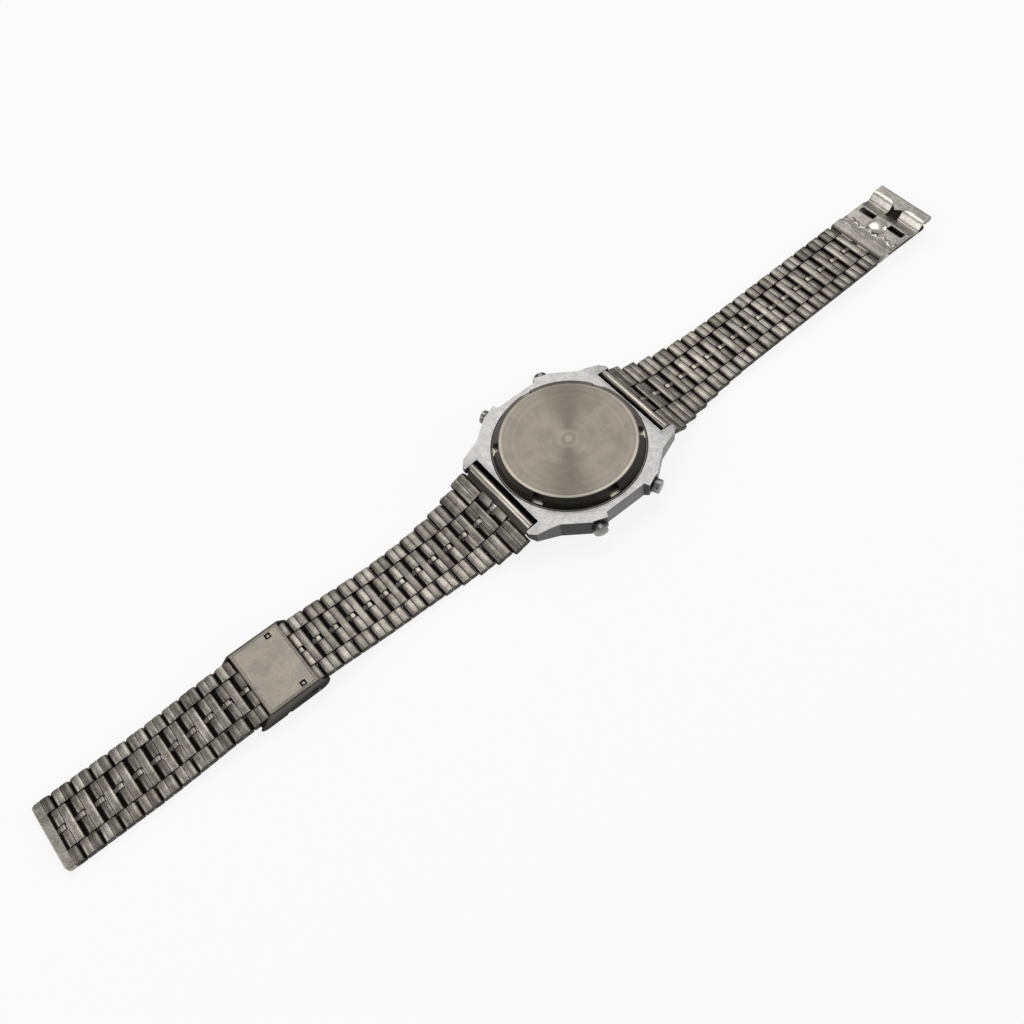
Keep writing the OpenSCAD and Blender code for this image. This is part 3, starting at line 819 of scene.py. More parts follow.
@dataclass(frozen=True)
class Crystal:
    """Clear glass with faint wear that shows in its gloss."""

    name: str = "crystal_glass"
    stain: float = 350.0
    roughness: tuple[float, float] = (0.02, 0.18)

    def build(self) -> bpy.types.Material:
        """Builds the material.

        Returns:
            The material.
        """
        material, graph, shader = open_material(self.name, Transmission_Weight=1.0, IOR=1.5,
                                                Base_Color=(0.95, 0.97, 0.96, 1.0))
        place = graph.node("TexCoord").outputs["Object"]
        age = graph.group(AGE, {"Vector": graph.stretched(place, (self.stain,) * 3)})
        rough = graph.spread(age.outputs["Scratch"], 0, 1, *self.roughness)
        graph.tree.links.new(rough, shader.inputs["Roughness"])
        return material


def warm(value: float, tint: float = 0.12) -> Colour:
    """Gives a warm grey of a given level."""
    return value, value * (1 - 0.4 * tint), value * (1 - tint)


# The fourth colour of each steel is the dark colour that painted shade and dirt go towards.
ROLL_STEEL = Steel("roll_steel", warm(0.345, 0.19), warm(0.215, 0.22), (0.011, 0.010, 0.008),
                   roughness=0.30, grain=(5200, 2600, 5200), stain=420,
                   depth=0.03, grain_contrast=0.2, speck=0.3, tone=1.0)
TUBE_STEEL = Steel("tube_steel", warm(0.50, 0.2), warm(0.40, 0.2), (0.014, 0.013, 0.010),
                   roughness=0.24, grain=(2500, 300, 2500), stain=220,
                   grain_contrast=0.12, speck=0.2, scratch=0.1)
CASE_STEEL = Steel("case_steel", warm(0.44, 0.02), warm(0.37, 0.02), (0.035, 0.036, 0.038),
                   roughness=0.34, grain=(5200, 5200, 5200), stain=800,
                   depth=0.04, grain_contrast=0.2, speck=0.75, scratch=0.1)
CLASP_STEEL = Steel("clasp_steel", warm(0.34, 0.26), warm(0.28, 0.2), (0.022, 0.022, 0.021),
                    roughness=0.36, grain=(3600, 3600, 3600), stain=330,
                    grain_contrast=0.13, speck=0.2, scratch=0.12)
HOOK_STEEL = Steel("hook_steel", warm(0.42, 0.15), warm(0.33, 0.16), (0.02, 0.017, 0.013),
                   roughness=0.24, grain=(3800, 700, 3800), stain=420,
                   grain_contrast=0.14, speck=0.2, scratch=0.12, tone=0.8)
CAP_STEEL = Steel("cap_steel", warm(0.34, 0.03), warm(0.2, 0.03), (0.02, 0.02, 0.02),
                  roughness=0.2, grain=(2500, 2500, 2500), stain=500,
                  depth=0.01)
WIRE_STEEL = Steel("wire_steel", warm(0.45, 0.05), warm(0.35, 0.05), (0.03, 0.03, 0.03),
                   roughness=0.35, grain=(3000, 3000, 3000), stain=400)
CELL_STEEL = Steel("cell_steel", warm(0.6, 0.02), warm(0.5, 0.02), (0.05, 0.05, 0.05),
                   roughness=0.3, grain=(2500, 2500, 2500), stain=250)
BLACK_RUBBER = Moulded("black_rubber", (0.02, 0.02, 0.02), (0.03, 0.03, 0.028), roughness=0.7)
MODULE_PLASTIC = Moulded("module_plastic", (0.03, 0.03, 0.03), (0.045, 0.045, 0.045), roughness=0.5)
BOARD_LACQUER = Moulded("board_lacquer", (0.02, 0.12, 0.05), (0.015, 0.09, 0.04), roughness=0.35)
DIAL_PRINT = Moulded("dial_print", (0.012, 0.016, 0.03), (0.016, 0.02, 0.035), roughness=0.4)
DIAL_LINE = Moulded("dial_line", (0.55, 0.56, 0.55), (0.5, 0.5, 0.48), roughness=0.45)
LCD_BACK = Moulded("lcd_back", (0.27, 0.31, 0.24), (0.25, 0.285, 0.22), roughness=0.3)
LCD_INK = Moulded("lcd_ink", (0.015, 0.017, 0.02), (0.02, 0.02, 0.024), roughness=0.35)


# The bracelet

CHANCE_WEIGHTS: Triple = (12.9898, 78.233, 37.719)
CHANCE_SCALE = 43758.5453


def chance(*numbers: float) -> float:
    """Gives a settled value between -1 and 1 for a set of numbers."""
    value = math.sin(sum(number * weight for number, weight in zip(numbers, CHANCE_WEIGHTS))) * CHANCE_SCALE
    return 2 * (value - math.floor(value)) - 1


@dataclass
class BrickLink:
    """A folded link: a pair of rolls on each side, a long bar, two short bars and the tongue behind them.

    Its near pin is at the origin and its length runs along X, in millimetres. Each pair of rolls forms an arch
    that is flat at its seam and falls away to the gaps, and a front sheet closes the gaps below; painted shade
    darkens the gaps and the sheet.
    """

    pitch: float = 3.65
    half: float = 1.825
    width: float = 13.75
    thickness: float = 1.3
    centre_thickness: float = 1.22
    centre_half: float = 3.72
    row_gap: float = 0.18
    outer_reach: float = 0.8
    centre_reach: float = 0.62
    seam: float = 0.09
    arch_drop: float = 0.52
    bar_drop: float = 0.32
    arch_stretch: float = 1.5
    seam_round: float = 0.12
    end_round: float = 0.07
    tongue_half: float = 0.5
    tongue_gap: float = 0.15
    tongue_high: float = 0.6
    head_end: float = 0.36
    pin_r: float = 0.35
    lap: float = 0.12
    lap_t: float = 0.4
    lap_gap: float = 0.13
    centre_vary: float = 0.22
    outer_vary: float = 0.34

    def roll(self, span: tuple[float, float], reach: tuple[float, float], height: float,
             seams: tuple[bool, bool] = (False, False), drop: float | None = None) -> bpy.types.Object:
        """Makes one pressed roll that lies across the bracelet.

        Args:
            span: Where it starts and ends along X.
            reach: Where it starts and ends along Y.
            height: Its thickness.
            seams: Whether its first and its second long side lie against another roll.
            drop: How far it falls away to a gap, or the usual arch's drop.

        Returns:
            The roll.
        """
        drop = self.arch_drop if drop is None else drop
        made = block("roll", (span[0], reach[0], -height / 2), (span[1], reach[1], height / 2))
        round_over(made, lambda edge: runs(edge, Axis.Y) and middle(edge).z < 0, 0.08, 2)
        for side, against in zip(span, seams):
            def is_long(edge: bmesh.types.BMEdge, at: float = side) -> bool:
                """Picks the upper long edge on one side."""
                spot = middle(edge)
                return runs(edge, Axis.Y) and abs(spot.x - at) < 0.001 and spot.z > height / 2 - 0.001

            def is_arch(vert: bmesh.types.BMVert, at: float = side) -> bool:
                """Picks the points of the rounding on one side."""
                return abs(vert.co.x - at) < drop + 0.001 and vert.co.z > height / 2 - drop - 0.001
            round_over(made, is_long, self.seam_round if against else drop, 2 if against else 6)
            if not against:
                stretch(made, is_arch, self.arch_stretch, Axis.X, side)

        def is_end(edge: bmesh.types.BMEdge) -> bool:
            """Picks the edges round both ends."""
            return min(abs(middle(edge).y - reach[0]), abs(middle(edge).y - reach[1])) < 0.001
        round_over(made, is_end, self.end_round, 2)
        return made

    def sheet(self, span: tuple[float, float], reach: tuple[float, float], height: float) -> bpy.types.Object:
        """Makes a piece of the front sheet that closes a gap.

        Args:
            span: Where it starts and ends along X.
            reach: Where it starts and ends along Y.
            height: The thickness of the rolls above it.

        Returns:
            The piece of sheet.
        """
        made = block("sheet", (span[0], reach[0], -height / 2), (span[1], reach[1], self.lap_t - height / 2))
        soften(made, 0.05, 1)
        return made

    def sides(self) -> tuple[tuple[float, float], tuple[float, float]]:
        """Gives where the two outer rows lie along Y."""
        inner = self.centre_half + self.row_gap
        return (inner, self.width / 2), (-self.width / 2, -inner)

    def near_rolls(self) -> list[bpy.types.Object]:
        """Makes the outer rolls round the near pin, with the sheet in front of them.

        Returns:
            The rolls, sheets, folds and ribs.
        """
        made = []
        for reach in self.sides():
            made.append(self.roll((-self.outer_reach, (self.half - self.seam) / 2), reach, self.thickness,
                                  (False, True)))
            made.append(self.sheet((-self.outer_reach - self.lap, 0.3), reach, self.thickness))
            made.append(self.bridge(self.half / 2, reach, self.thickness))
            inner = min(reach, key=abs)
            edge = sorted((inner, inner - math.copysign(0.1, inner)))
            made.append(edged(block("rib", (-self.outer_reach, edge[0], -0.6),
                                    (self.half + self.outer_reach, edge[1], 0))))
        return made

    def bridge(self, seam: float, reach: tuple[float, float], height: float) -> bpy.types.Object:
        """Makes the fold that joins two rolls under their seam."""
        return edged(block("bridge", (seam - 0.25, reach[0] + 0.03, -height / 2 + 0.04),
                           (seam + 0.25, reach[1] - 0.03, height / 2 - 0.22)))

    def far_rolls(self) -> list[bpy.types.Object]:
        """Makes the outer rolls round the second pin, with the flange that reaches over the next link's sheet.

        Returns:
            The rolls and flanges.
        """
        end = self.half + self.outer_reach
        made = []
        for reach in self.sides():
            made.append(self.roll(((self.half + self.seam) / 2, end), reach, self.thickness, (True, False)))
            made.append(edged(block("flange", (end - 0.2, reach[0], -0.12),
                                    (self.pitch - self.outer_reach - 0.07, reach[1], 0.08))))
        return made

    def pins(self, places: Sequence[float]) -> list[bpy.types.Object]:
        """Makes the pins at the given places along X."""
        reach = self.width / 2 - 0.5
        return [rod("pin", self.pin_r, (x, -reach, 0), (x, reach, 0), 12) for x in places]

    def flange(self, end: float, reach: tuple[float, float]) -> bpy.types.Object:
        """Makes the flange that reaches from a short bar's end over the next link's sheet."""
        return edged(block("flange", (end - 0.2, reach[0], 0.02), (end + 0.23, reach[1], 0.16)))

    def centre_bars(self) -> list[bpy.types.Object]:
        """Makes the long bar, the two short bars that hold the next tongue, and the sheet in front of them.

        Returns:
            The bars, sheets, folds and flanges.
        """
        start = self.half - self.centre_reach
        between = (self.half + self.pitch) / 2
        end = self.pitch + self.centre_reach
        slot = self.tongue_half + self.tongue_gap
        height = self.centre_thickness
        side = self.centre_half
        return [self.roll((start, between - self.seam / 2), (-side, side), height, (False, True), self.bar_drop),
                self.roll((between + self.seam / 2, end), (slot, side), height, (True, False)),
                self.roll((between + self.seam / 2, end), (-side, -slot), height, (True, False)),
                self.sheet((self.centre_reach + self.lap_gap, self.half), (-side, side), height),
                self.sheet((between - 0.2, self.pitch - self.centre_reach - 0.08), (-slot, slot), height),
                self.bridge(between, (slot, side), height),
                self.bridge(between, (-side, -slot), height),
                self.flange(end, (slot, side)),
                self.flange(end, (-side, -slot))]

    def tongue(self) -> list[bpy.types.Object]:
        """Makes the tongue's head round the near pin and the web behind it.

        Returns:
            The head and the web.
        """
        side = self.tongue_half
        head = block("head", (-self.centre_reach, -side, -self.tongue_high), (self.head_end, side, self.tongue_high))
        round_over(head, lambda edge: runs(edge, Axis.Y), 0.22, 4)
        soften(head, 0.06, 2)
        web = block("web", (0, -0.85 * side, -0.4), (self.half - 0.3, 0.85 * side, 0.36))
        soften(web, 0.06)
        return [head, web]

    def build(self, name: str) -> bpy.types.Object:
        """Makes the whole link.

        Args:
            name: Its name.

        Returns:
            The link, marked with the painted shade between its rolls.
        """
        parts = self.near_rolls() + self.far_rolls() + self.pins((0, self.half)) + self.centre_bars()
        made = join(parts + self.tongue(), name)
        mark(made, "shade_and_grime", self.shade_and_dirt)
        return made

    def shade_and_dirt(self, point: Vector) -> float:
        """Says how dark a point is painted: none on the crowns, painted shade that deepens into the gaps and onto
        the front sheet, dark seams and painted shade on the cut ends.

        Args:
            point: A place on the link.

        Returns:
            How dark it is, from 0 to 1.
        """
        outer = abs(point.y) > self.centre_half + 0.05
        crown = (self.thickness if outer else self.centre_thickness) / 2
        seam = self.half / 2 if outer else (self.half + self.pitch) / 2
        if abs(point.x - seam) < self.seam / 2 + 0.015:
            return 1.0
        # Painted shade on the cut ends at the straps' sides.
        if abs(point.y) > self.width / 2 - 0.02:
            return 0.85
        if min(abs(abs(point.y) - self.centre_half), abs(abs(point.y) - self.centre_half - self.row_gap)) < 0.01:
            return 1.0
        # Painted shade on the sheet in the gap before the long bar.
        if not outer and 0.4 < point.x < self.half - self.centre_reach - 0.01:
            return 1.0
        # Painted shade: darker with depth below the crown, as into a gap.
        return clamp((crown - 0.03 - abs(point.z)) / 0.33) ** 0.95

    def tone(self, place: Vector, seed: float, lean: float = 0.0, lift: float = 0.22) -> float:
        """Gives the roll's brightness at a place: a painted highlight on the tongue's head, one bar of the centre
        row painted brighter as a highlight, and each roll differing at random.

        Args:
            place: A place on the link.
            seed: The link's own number, which settles the differences.
            lean: How much brighter the row at +Y is painted than the row at -Y, as painted light and shade.
            lift: How much brighter the long bar is painted than the mean of the centre row, as a painted highlight
                or shade.

        Returns:
            The brightness, partly painted light, from about -0.5 to 0.5.
        """
        # Painted highlight on the tongue's head.
        if abs(place.y) < self.tongue_half + 0.01 and abs(place.x) < self.centre_reach:
            return 0.3
        if abs(place.y) < self.centre_half:
            is_long = place.x < (self.half + self.pitch) / 2
            return (lift if is_long else -lift) + self.centre_vary * chance(seed, 0, is_long)
        row = math.copysign(1, place.y)
        return row * lean - 0.08 + self.outer_vary * chance(seed, row, place.x > self.half / 2)


@dataclass
class Bracelet:
    """Both straps of brick links, with their end pieces; the end tubes are made apart."""

    near_links: int = 12
    far_links: int = 9
    hook_links: int = 17
    clasped_count: int = 4
    clasped_pitch: float = 3.8
    taper: float = 6.1
    taper_power: float = 2.25
    taper_links: int = 8
    pattern: BrickLink = field(default_factory=BrickLink)

    def extra_width(self, number: int) -> float:
        """Gives how much wider than the band a link is.

        Args:
            number: The link's number, counted from the head.

        Returns:
            The extra width.
        """
        if number >= self.taper_links:
            return 0.0
        return self.taper * ((self.taper_links - number) / (self.taper_links - 1)) ** self.taper_power

    def widen(self, piece: bpy.types.Object, extra: float) -> None:
        """Moves a link's two ends apart, which makes its outer rolls and its pins longer.

        Args:
            piece: The link.
            extra: How much wider it gets.
        """
        for way in (-1, 1):
            with editing(piece):
                pick(Kind.VERT, lambda vert, side=way: side * vert.co.y > self.pattern.width / 2 - 0.6)
                bpy.ops.transform.translate(value=(0, way * extra / 2, 0))

    def links(self, side: str, numbers: Sequence[int], last: str, master: bpy.types.Object,
              material: bpy.types.Material) -> None:
        """Places a run of links.

        Args:
            side: The strap, left or right.
            numbers: The links' numbers.
            last: The body that the run's last link points to.
            master: The link to copy.
            material: The links' finish.
        """
        for number in numbers:
            node = f"{side}_link_{number}"
            ahead = last if number == numbers[-1] else f"{side}_link_{number + 1}"
            made = copy_of(master, node + "_rolls")
            # Painted light and shade: the right strap's rows and the left strap's long bars are set lighter or
            # darker by how the light falls there; the rest differs at random.
            seed, lean = (number + 0.37, -0.1) if side == "right" else (number + 0.11, 0.0)
            lift = -0.16 if side == "left" and 2 < number <= self.near_links else 0.22
            mark_faces(made, "tone", lambda place, _, key=seed, way=lean, up=lift:
                       self.pattern.tone(place, key, way, up))
            if self.extra_width(number) > 0:
                self.widen(made, self.extra_width(number))
            finish_piece(made, node, material, [node], along_strap(node, ahead))

    def clasped_run(self, material: bpy.types.Material) -> None:
        """Makes the links that the clasp holds in line.

        Args:
            material: The links' finish.
        """
        link = BrickLink(pitch=self.clasped_pitch, lap=0.2)
        master = link.build("clasped_link")
        parts = []
        for number in range(self.clasped_count):
            part = copy_of(master, "clasped_part")
            mark_faces(part, "tone", lambda place, _, key=number + 40.2: link.tone(place, key))
            part.data.transform(Matrix.Translation((number * self.clasped_pitch, 0, 0)))
            parts.append(part)
        bpy.data.objects.remove(master)
        made = join(parts, "clasped_links_rolls")
        ahead = f"left_link_{self.near_links + 1}"
        finish_piece(made, "clasped_links", material, ["clasped_links"],
                     along_strap("clasped_links", ahead))

    def end_bar(self, material: bpy.types.Material) -> None:
        """Makes the last frame of the free end, which one bar closes.

        Args:
            material: The links' finish.
        """
        link = self.pattern
        start, end = (link.half + link.seam) / 2, link.half + link.outer_reach
        high, side = link.thickness / 2, link.width / 2
        bar = block("bar", (start, -side, -high), (end, side, high))
        round_over(bar, lambda edge: runs(edge, Axis.Z) and middle(edge).x > end - 0.001, 0.85, 5)
        round_over(bar, lambda edge: abs(middle(edge).z) > high - 0.001 and middle(edge).x > start + 0.001, 0.13, 3)
        inner = link.centre_half + link.row_gap
        floor = link.sheet((link.centre_reach + link.lap_gap, link.half), (-inner, inner), link.thickness)
        parts = link.near_rolls() + link.pins((0,)) + link.tongue() + [floor]
        for part in parts + [bar]:
            mark(part, "shade_and_grime", self.bar_side_shade if part is bar else link.shade_and_dirt)
        made = join(parts + [bar], "end_frame_rolls")
        mark_faces(made, "tone", lambda place, _: 0.4 if place.x > start else link.tone(place, 61.3))
        last = f"left_link_{self.near_links + self.far_links}"
        finish_piece(made, "end_frame", material, ["end_frame"],
                     along_strap("end_frame", "", behind=last))

    def bar_side_shade(self, point: Vector) -> float:
        """Gives the painted shade on the end bar: only its sides are darkened."""
        return clamp((self.pattern.thickness / 2 - 0.16 - abs(point.z)) / 0.2)

    def build(self) -> None:
        """Makes both straps."""
        material = ROLL_STEEL.build()
        master = self.pattern.build("link_master")
        self.links("left", range(1, self.near_links + 1), "clasped_links", master, material)
        self.clasped_run(material)
        far = range(self.near_links + 1, self.near_links + self.far_links + 1)
        self.links("left", far, "end_frame", master, material)
        self.end_bar(material)
        self.links("right", range(1, self.hook_links + 1), "hook_plate", master, material)
        bpy.data.objects.remove(master)


@dataclass
class EndLink:
    """The tube round a spring bar, its sheet and the bars that hold the first link, in millimetres."""

    side: str
    tube_r: float = 0.8
    tube_half: float = 8.95
    bore_r: float = 0.56
    bore_depth: float = 0.9
    length: float = 3.0
    sheet_start: float = 0.2
    sheet_half: float = 8.7
    sheet_low: float = -0.7
    sheet_t: float = 1.0

    def build(self) -> None:
        """Makes the end link."""
        link = BrickLink()
        node = f"{self.side}_end_link"
        tube = rod("tube", self.tube_r, (0, -self.tube_half, 0), (0, self.tube_half, 0), 48)
        with editing(tube):
            pick(Kind.FACE, lambda face: abs(face.normal.y) > 0.9)
            bpy.ops.mesh.inset(thickness=self.tube_r - self.bore_r, use_individual=True)
            bpy.ops.mesh.inset(thickness=0.02, depth=-self.bore_depth, use_individual=True)
        soften(tube, 0.05, angle=50)
        reach = self.length - link.outer_reach - 0.25
        sheet = block("sheet", (self.sheet_start, -self.sheet_half, self.sheet_low),
                      (reach, self.sheet_half, self.sheet_low + self.sheet_t))
        soften(sheet, 0.12, 3)
        slot = link.tongue_half + link.tongue_gap
        end = self.length + link.centre_reach
        bars = [link.roll((reach - 0.4, end), span, link.centre_thickness, (True, False))
                for span in ((slot, link.centre_half), (-link.centre_half, -slot))]
        bars += [link.flange(end, span)
                 for span in ((slot, link.centre_half - 0.05), (0.05 - link.centre_half, -slot))]
        # Painted shade: the sheet is painted dark, the bars at least half dark, and the tube darker below and
        # towards the strap.
        for part in (tube, sheet, *bars):
            rule = (self.tube_shade if part is tube else (lambda _: 0.88) if part is sheet
                    else lambda point: max(0.5, link.shade_and_dirt(point)))
            mark(part, "shade_and_grime", rule)
        made = join([tube, sheet, *bars], node + "_tube")
        finish_piece(made, node, TUBE_STEEL.build(), [node],
                     along_strap(node, f"{self.side}_link_1"))

    def tube_shade(self, point: Vector) -> float:
        """Gives the painted shade on the tube: it darkens towards the strap and below."""
        return clamp(0.45 * (0.5 - point.z) + 0.5 * max(point.x, 0.0))


# The head

@dataclass
class WatchCase:
    """The steel case with its lugs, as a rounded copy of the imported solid."""

    flange_z: float = 6.2
    edge: float = 0.14
    channel_x: tuple[float, float] = (14.9, 16.66)
    channel_z: tuple[float, float] = (3.6, 3.85)
    channel_half: float = 8.9
    throat_r: float = 15.1

    def build(self) -> None:
        """Makes the case."""
        made = solid_copy("case")
        soften(made, self.edge, 2, 28)
        made = join([made, *self.channel_floors()], "case_shell")
        mark_faces(made, "shade_and_grime", self.shade_and_dirt)
        finish_piece(made, "case", CASE_STEEL.build(), ["case"], smooth=30, flat=True)

    def channel_floors(self) -> list[bpy.types.Object]:
        """Makes the front plate's edge that closes the channel beside each end tube.

        Returns:
            The two floors.
        """
        made = []
        for way in (-1, 1):
            ends = sorted(way * x for x in self.channel_x)
            made.append(edged(block("channel_floor", (ends[0], -self.channel_half, self.channel_z[0]),
                                    (ends[1], self.channel_half, self.channel_z[1]))))
        return made

    def shade_and_dirt(self, place: Vector, normal: Vector) -> float:
        """Says how dark a face is painted: the flange is clean, and painted shade darkens the side walls, less on
        the right ones that face the light.

        Args:
            place: The middle of the face.
            normal: The way the face points.

        Returns:
            How dark it is painted, from 0 to 1.
        """
        # Painted shade: the channel beside each end tube, with its floor, and the throat inside the case are painted
        # dark.
        in_channel = 14.85 < abs(place.x) < 17 and abs(place.y) < 9.2
        if in_channel and (place.z < 4.2 or abs(normal.z) < 0.5):
            return 1.0
        if place.z > self.flange_z - 0.25 and normal.z > 0.5:
            return 0.0
        if math.hypot(place.x, place.y) < self.throat_r and place.z > 3:
            return 0.95
        # Painted shade on the side walls, less where they face the light.
        if abs(normal.z) < 0.35:
            lit = clamp(normal.x * 0.8 - normal.y * 0.6)
            return 0.9 - 0.55 * lit
        return 0.25


@dataclass
class CaseBack:
    """The round screwed case back with its six key slots, in millimetres."""

    seat_z: float = 5.5
    radius: float = 14.75
    wall_z: float = 6.45
    slope: tuple[float, float] = (0.7, 1.4)
    chamfer: tuple[float, float] = (0.82, 0.31)
    land: tuple[float, float] = (0.1, 0.04)
    rim: float = 0.42
    groove: tuple[float, float] = (0.08, -0.03)
    ring_step: float = 4
    bead: float = 0.3
    ledge: float = 0.17
    ledge_rise: float = 0.05
    slot_width: float = 2.05
    slot_depth: float = 1.5
    slot_turn: float = 26
    slots: int = 6
    sides: int = 144

    def key_slots(self) -> bpy.types.Object:
        """Makes the cutter for the six key slots.

        Returns:
            The cutter.
        """
        cutters = []
        for number in range(self.slots):
            half = self.slot_width / 2
            cutter = block("slot", (self.radius - self.slot_depth, -half, self.wall_z + 0.1),
                           (self.radius + 1, half, 10))
            cutter.data.transform(Matrix.Rotation(math.radians(self.slot_turn) + number * TURN / self.slots, 4, "Z"))
            cutters.append(cutter)
        return join(cutters, "slots")

    def build(self) -> None:
        """Makes the case back."""
        made = rod("case_back_disc", self.radius, (0, 0, self.seat_z), (0, 0, self.wall_z - self.bead), self.sides)
        with editing(made):
            pick(Kind.FACE, lambda face: face.normal.z > 0.9)
            slope = (self.slope[0] - self.ledge, self.slope[1] + self.bead - self.ledge_rise)
            for width, rise in ((self.ledge, self.ledge_rise), slope, self.chamfer, self.land, (self.rim, 0),
                                self.groove, (self.ring_step, 0), (self.ring_step, 0)):
                bpy.ops.mesh.inset(thickness=width, depth=rise)
        cut(made, self.key_slots())
        soften(made, 0.05, 2, 40)
        mark_faces(made, "shade_and_grime", self.shade_and_dirt)
        mark_faces(made, "tone", self.tone)
        finish_piece(made, "case", SpunSteel().build(), ["case_back"], smooth=30, flat=True)

    @property
    def disc_r(self) -> float:
        """Gives the radius of the flat disc."""
        return self.radius - self.slope[0] - self.chamfer[0] - self.land[0]

    def on_bead(self, place: Vector) -> bool:
        """Says whether a place lies on the bead at the top of the wall."""
        return math.hypot(place.x, place.y) > self.radius - 0.12 and place.z > self.wall_z - self.bead - 0.03

    def shade_and_dirt(self, place: Vector, normal: Vector) -> float:
        """Says how dark a face is painted: painted shade makes the wall dark all round, and the chamfer dark on the
        near side and grey beyond.

        Args:
            place: The middle of the face.
            normal: The way the face points.

        Returns:
            How dark it is painted, from 0 to 1.
        """
        out = math.hypot(place.x, place.y)
        if out < self.disc_r + 0.13 and normal.z > 0.4:
            return 0.0
        if self.slot_floor(place) and normal.z > 0.9:
            return 0.0
        if self.on_bead(place):
            return 0.0
        # Painted shade: up-facing slopes are dark on the near side, and the wall is dark all round and darkest near.
        if normal.z > 0.75:
            return 0.05 + 0.8 * self.nearness(place)
        return 0.4 + 0.52 * self.nearness(place)

    def slot_floor(self, place: Vector) -> bool:
        """Says whether a place lies on the floor of a key slot."""
        out = math.hypot(place.x, place.y)
        return self.radius - self.slot_depth < out and self.wall_z < place.z < self.wall_z + 0.12

    def nearness(self, place: Vector) -> float:
        """Gives how much a place lies on the near side, where shade and highlight are painted: 0 on the far side and
        1 on the near one.
        """
        return clamp(0.5 - 0.6 * (place.x * 0.57 + place.y * 0.82) / max(math.hypot(place.x, place.y), 0.1))

    def tone(self, place: Vector, _: Vector) -> float:
        """Gives a face's painted highlight: the rim round the disc is painted bright, most on the near side, and so
        are the bead below and the slot floors.

        Args:
            place: The middle of the face.
            _: The way the face points, which has no effect.

        Returns:
            How much brighter it is than the plain disc.
        """
        out = math.hypot(place.x, place.y)
        if self.on_bead(place):
            return 0.8
        if self.slot_floor(place):
            return 0.9
        if self.disc_r + 0.1 <= out < 14.1:
            return 0.5 * (1 - self.nearness(place))
        if self.disc_r - 0.63 < out < self.disc_r + 0.1 and place.z > 8:
            return 0.25 + 0.75 * self.nearness(place)
        return 0.0


@dataclass
class PushButtons:
    """The four push buttons' turned caps and stems, in millimetres along each button's own axis."""

    cap_r: float = 1.4
    cap_len: float = 1.4
    boss_r: float = 17.6
    stem_r: float = 0.5
    inner_r: float = 12.7
    height: float = 4.1
    gap: float = 0.05
    outer_steps: tuple[tuple[float, float], ...] = ((0.22, 0.1), (0.4, 0.04))
    inner_steps: tuple[tuple[float, float], ...] = ((0.25, 0), (0.05, -0.12))
    clip_rise: float = 0.35
    clip_x: tuple[float, float] = (0.18, 0.48)

    def build(self) -> None:
        """Makes the four push buttons."""
        material = CAP_STEEL.build()
        for number in range(1, 5):
            body = f"pusher_{number}"
            inward = Vector(HINGES[body]["axis"])
            start = self.boss_r + self.gap
            cap = rod("cap", self.cap_r, (start, 0, 0), (start + self.cap_len, 0, 0), 40)
            with editing(cap):
                for way, steps in ((1, self.outer_steps), (-1, self.inner_steps)):
                    pick(Kind.FACE, lambda face, side=way: side * face.normal.x > 0.9)
                    for width, rise in steps:
                        bpy.ops.mesh.inset(thickness=width, depth=rise)
            soften(cap, 0.1, 3, 40)
            stem = rod("stem", self.stem_r, (self.inner_r, 0, 0), (start + 0.2, 0, 0), 24)
            clip = rod("clip", self.stem_r + self.clip_rise, (self.inner_r + self.clip_x[0], 0, 0),
                       (self.inner_r + self.clip_x[1], 0, 0), 24)
            soften(clip, 0.06, 2, 40)
            made = join([cap, stem, clip], body + "_cap")
            # Painted shade on the stem and clip inside the case.
            mark(made, "shade_and_grime", lambda point: 0.8 if point.x < self.boss_r + 0.2 else 0.0)
            turn = Matrix.Rotation(math.atan2(-inward.y, -inward.x), 4, "Z")
            place = Matrix.Scale(MM, 4) @ Matrix.Translation((0, 0, self.height)) @ turn
            finish_piece(made, body, material, [body], place)


SEGMENTS: dict[str, tuple[Triple, ...]] = {
    "top": ((0.15, 1.0, 0), (0.85, 1.0, 0)), "high_left": ((0.0, 0.57, 0), (0.0, 0.93, 0)),
    "high_right": ((1.0, 0.57, 0), (1.0, 0.93, 0)), "middle": ((0.15, 0.5, 0), (0.85, 0.5, 0)),
    "low_left": ((0.0, 0.07, 0), (0.0, 0.43, 0)), "low_right": ((1.0, 0.07, 0), (1.0, 0.43, 0)),
    "bottom": ((0.15, 0.0, 0), (0.85, 0.0, 0)),
}
DARK_SEGMENTS: dict[str, tuple[str, ...]] = {
    "0": ("middle",), "1": ("top", "high_left", "middle", "low_left", "bottom"),
    "2": ("high_left", "low_right"), "3": ("high_left", "low_left"), "4": ("top", "low_left", "bottom"),
    "5": ("high_right", "low_left"), "6": ("high_right",), "7": ("high_left", "middle", "low_left", "bottom"),
    "8": (), "9": ("low_left",),
}


FIGURES: tuple[tuple[str, tuple[float, ...], float, tuple[float, float], float], ...] = (
    ("1008", (-6.6, -3.9, -0.3, 2.4), -3.4, (1.9, 3.9), 0.42),
    ("36", (5.0, 6.5), -3.4, (1.0, 2.1), 0.26),
    ("1225", (-2.6, -1.2, 1.2, 2.6), 1.9, (0.9, 1.7), 0.22),
)


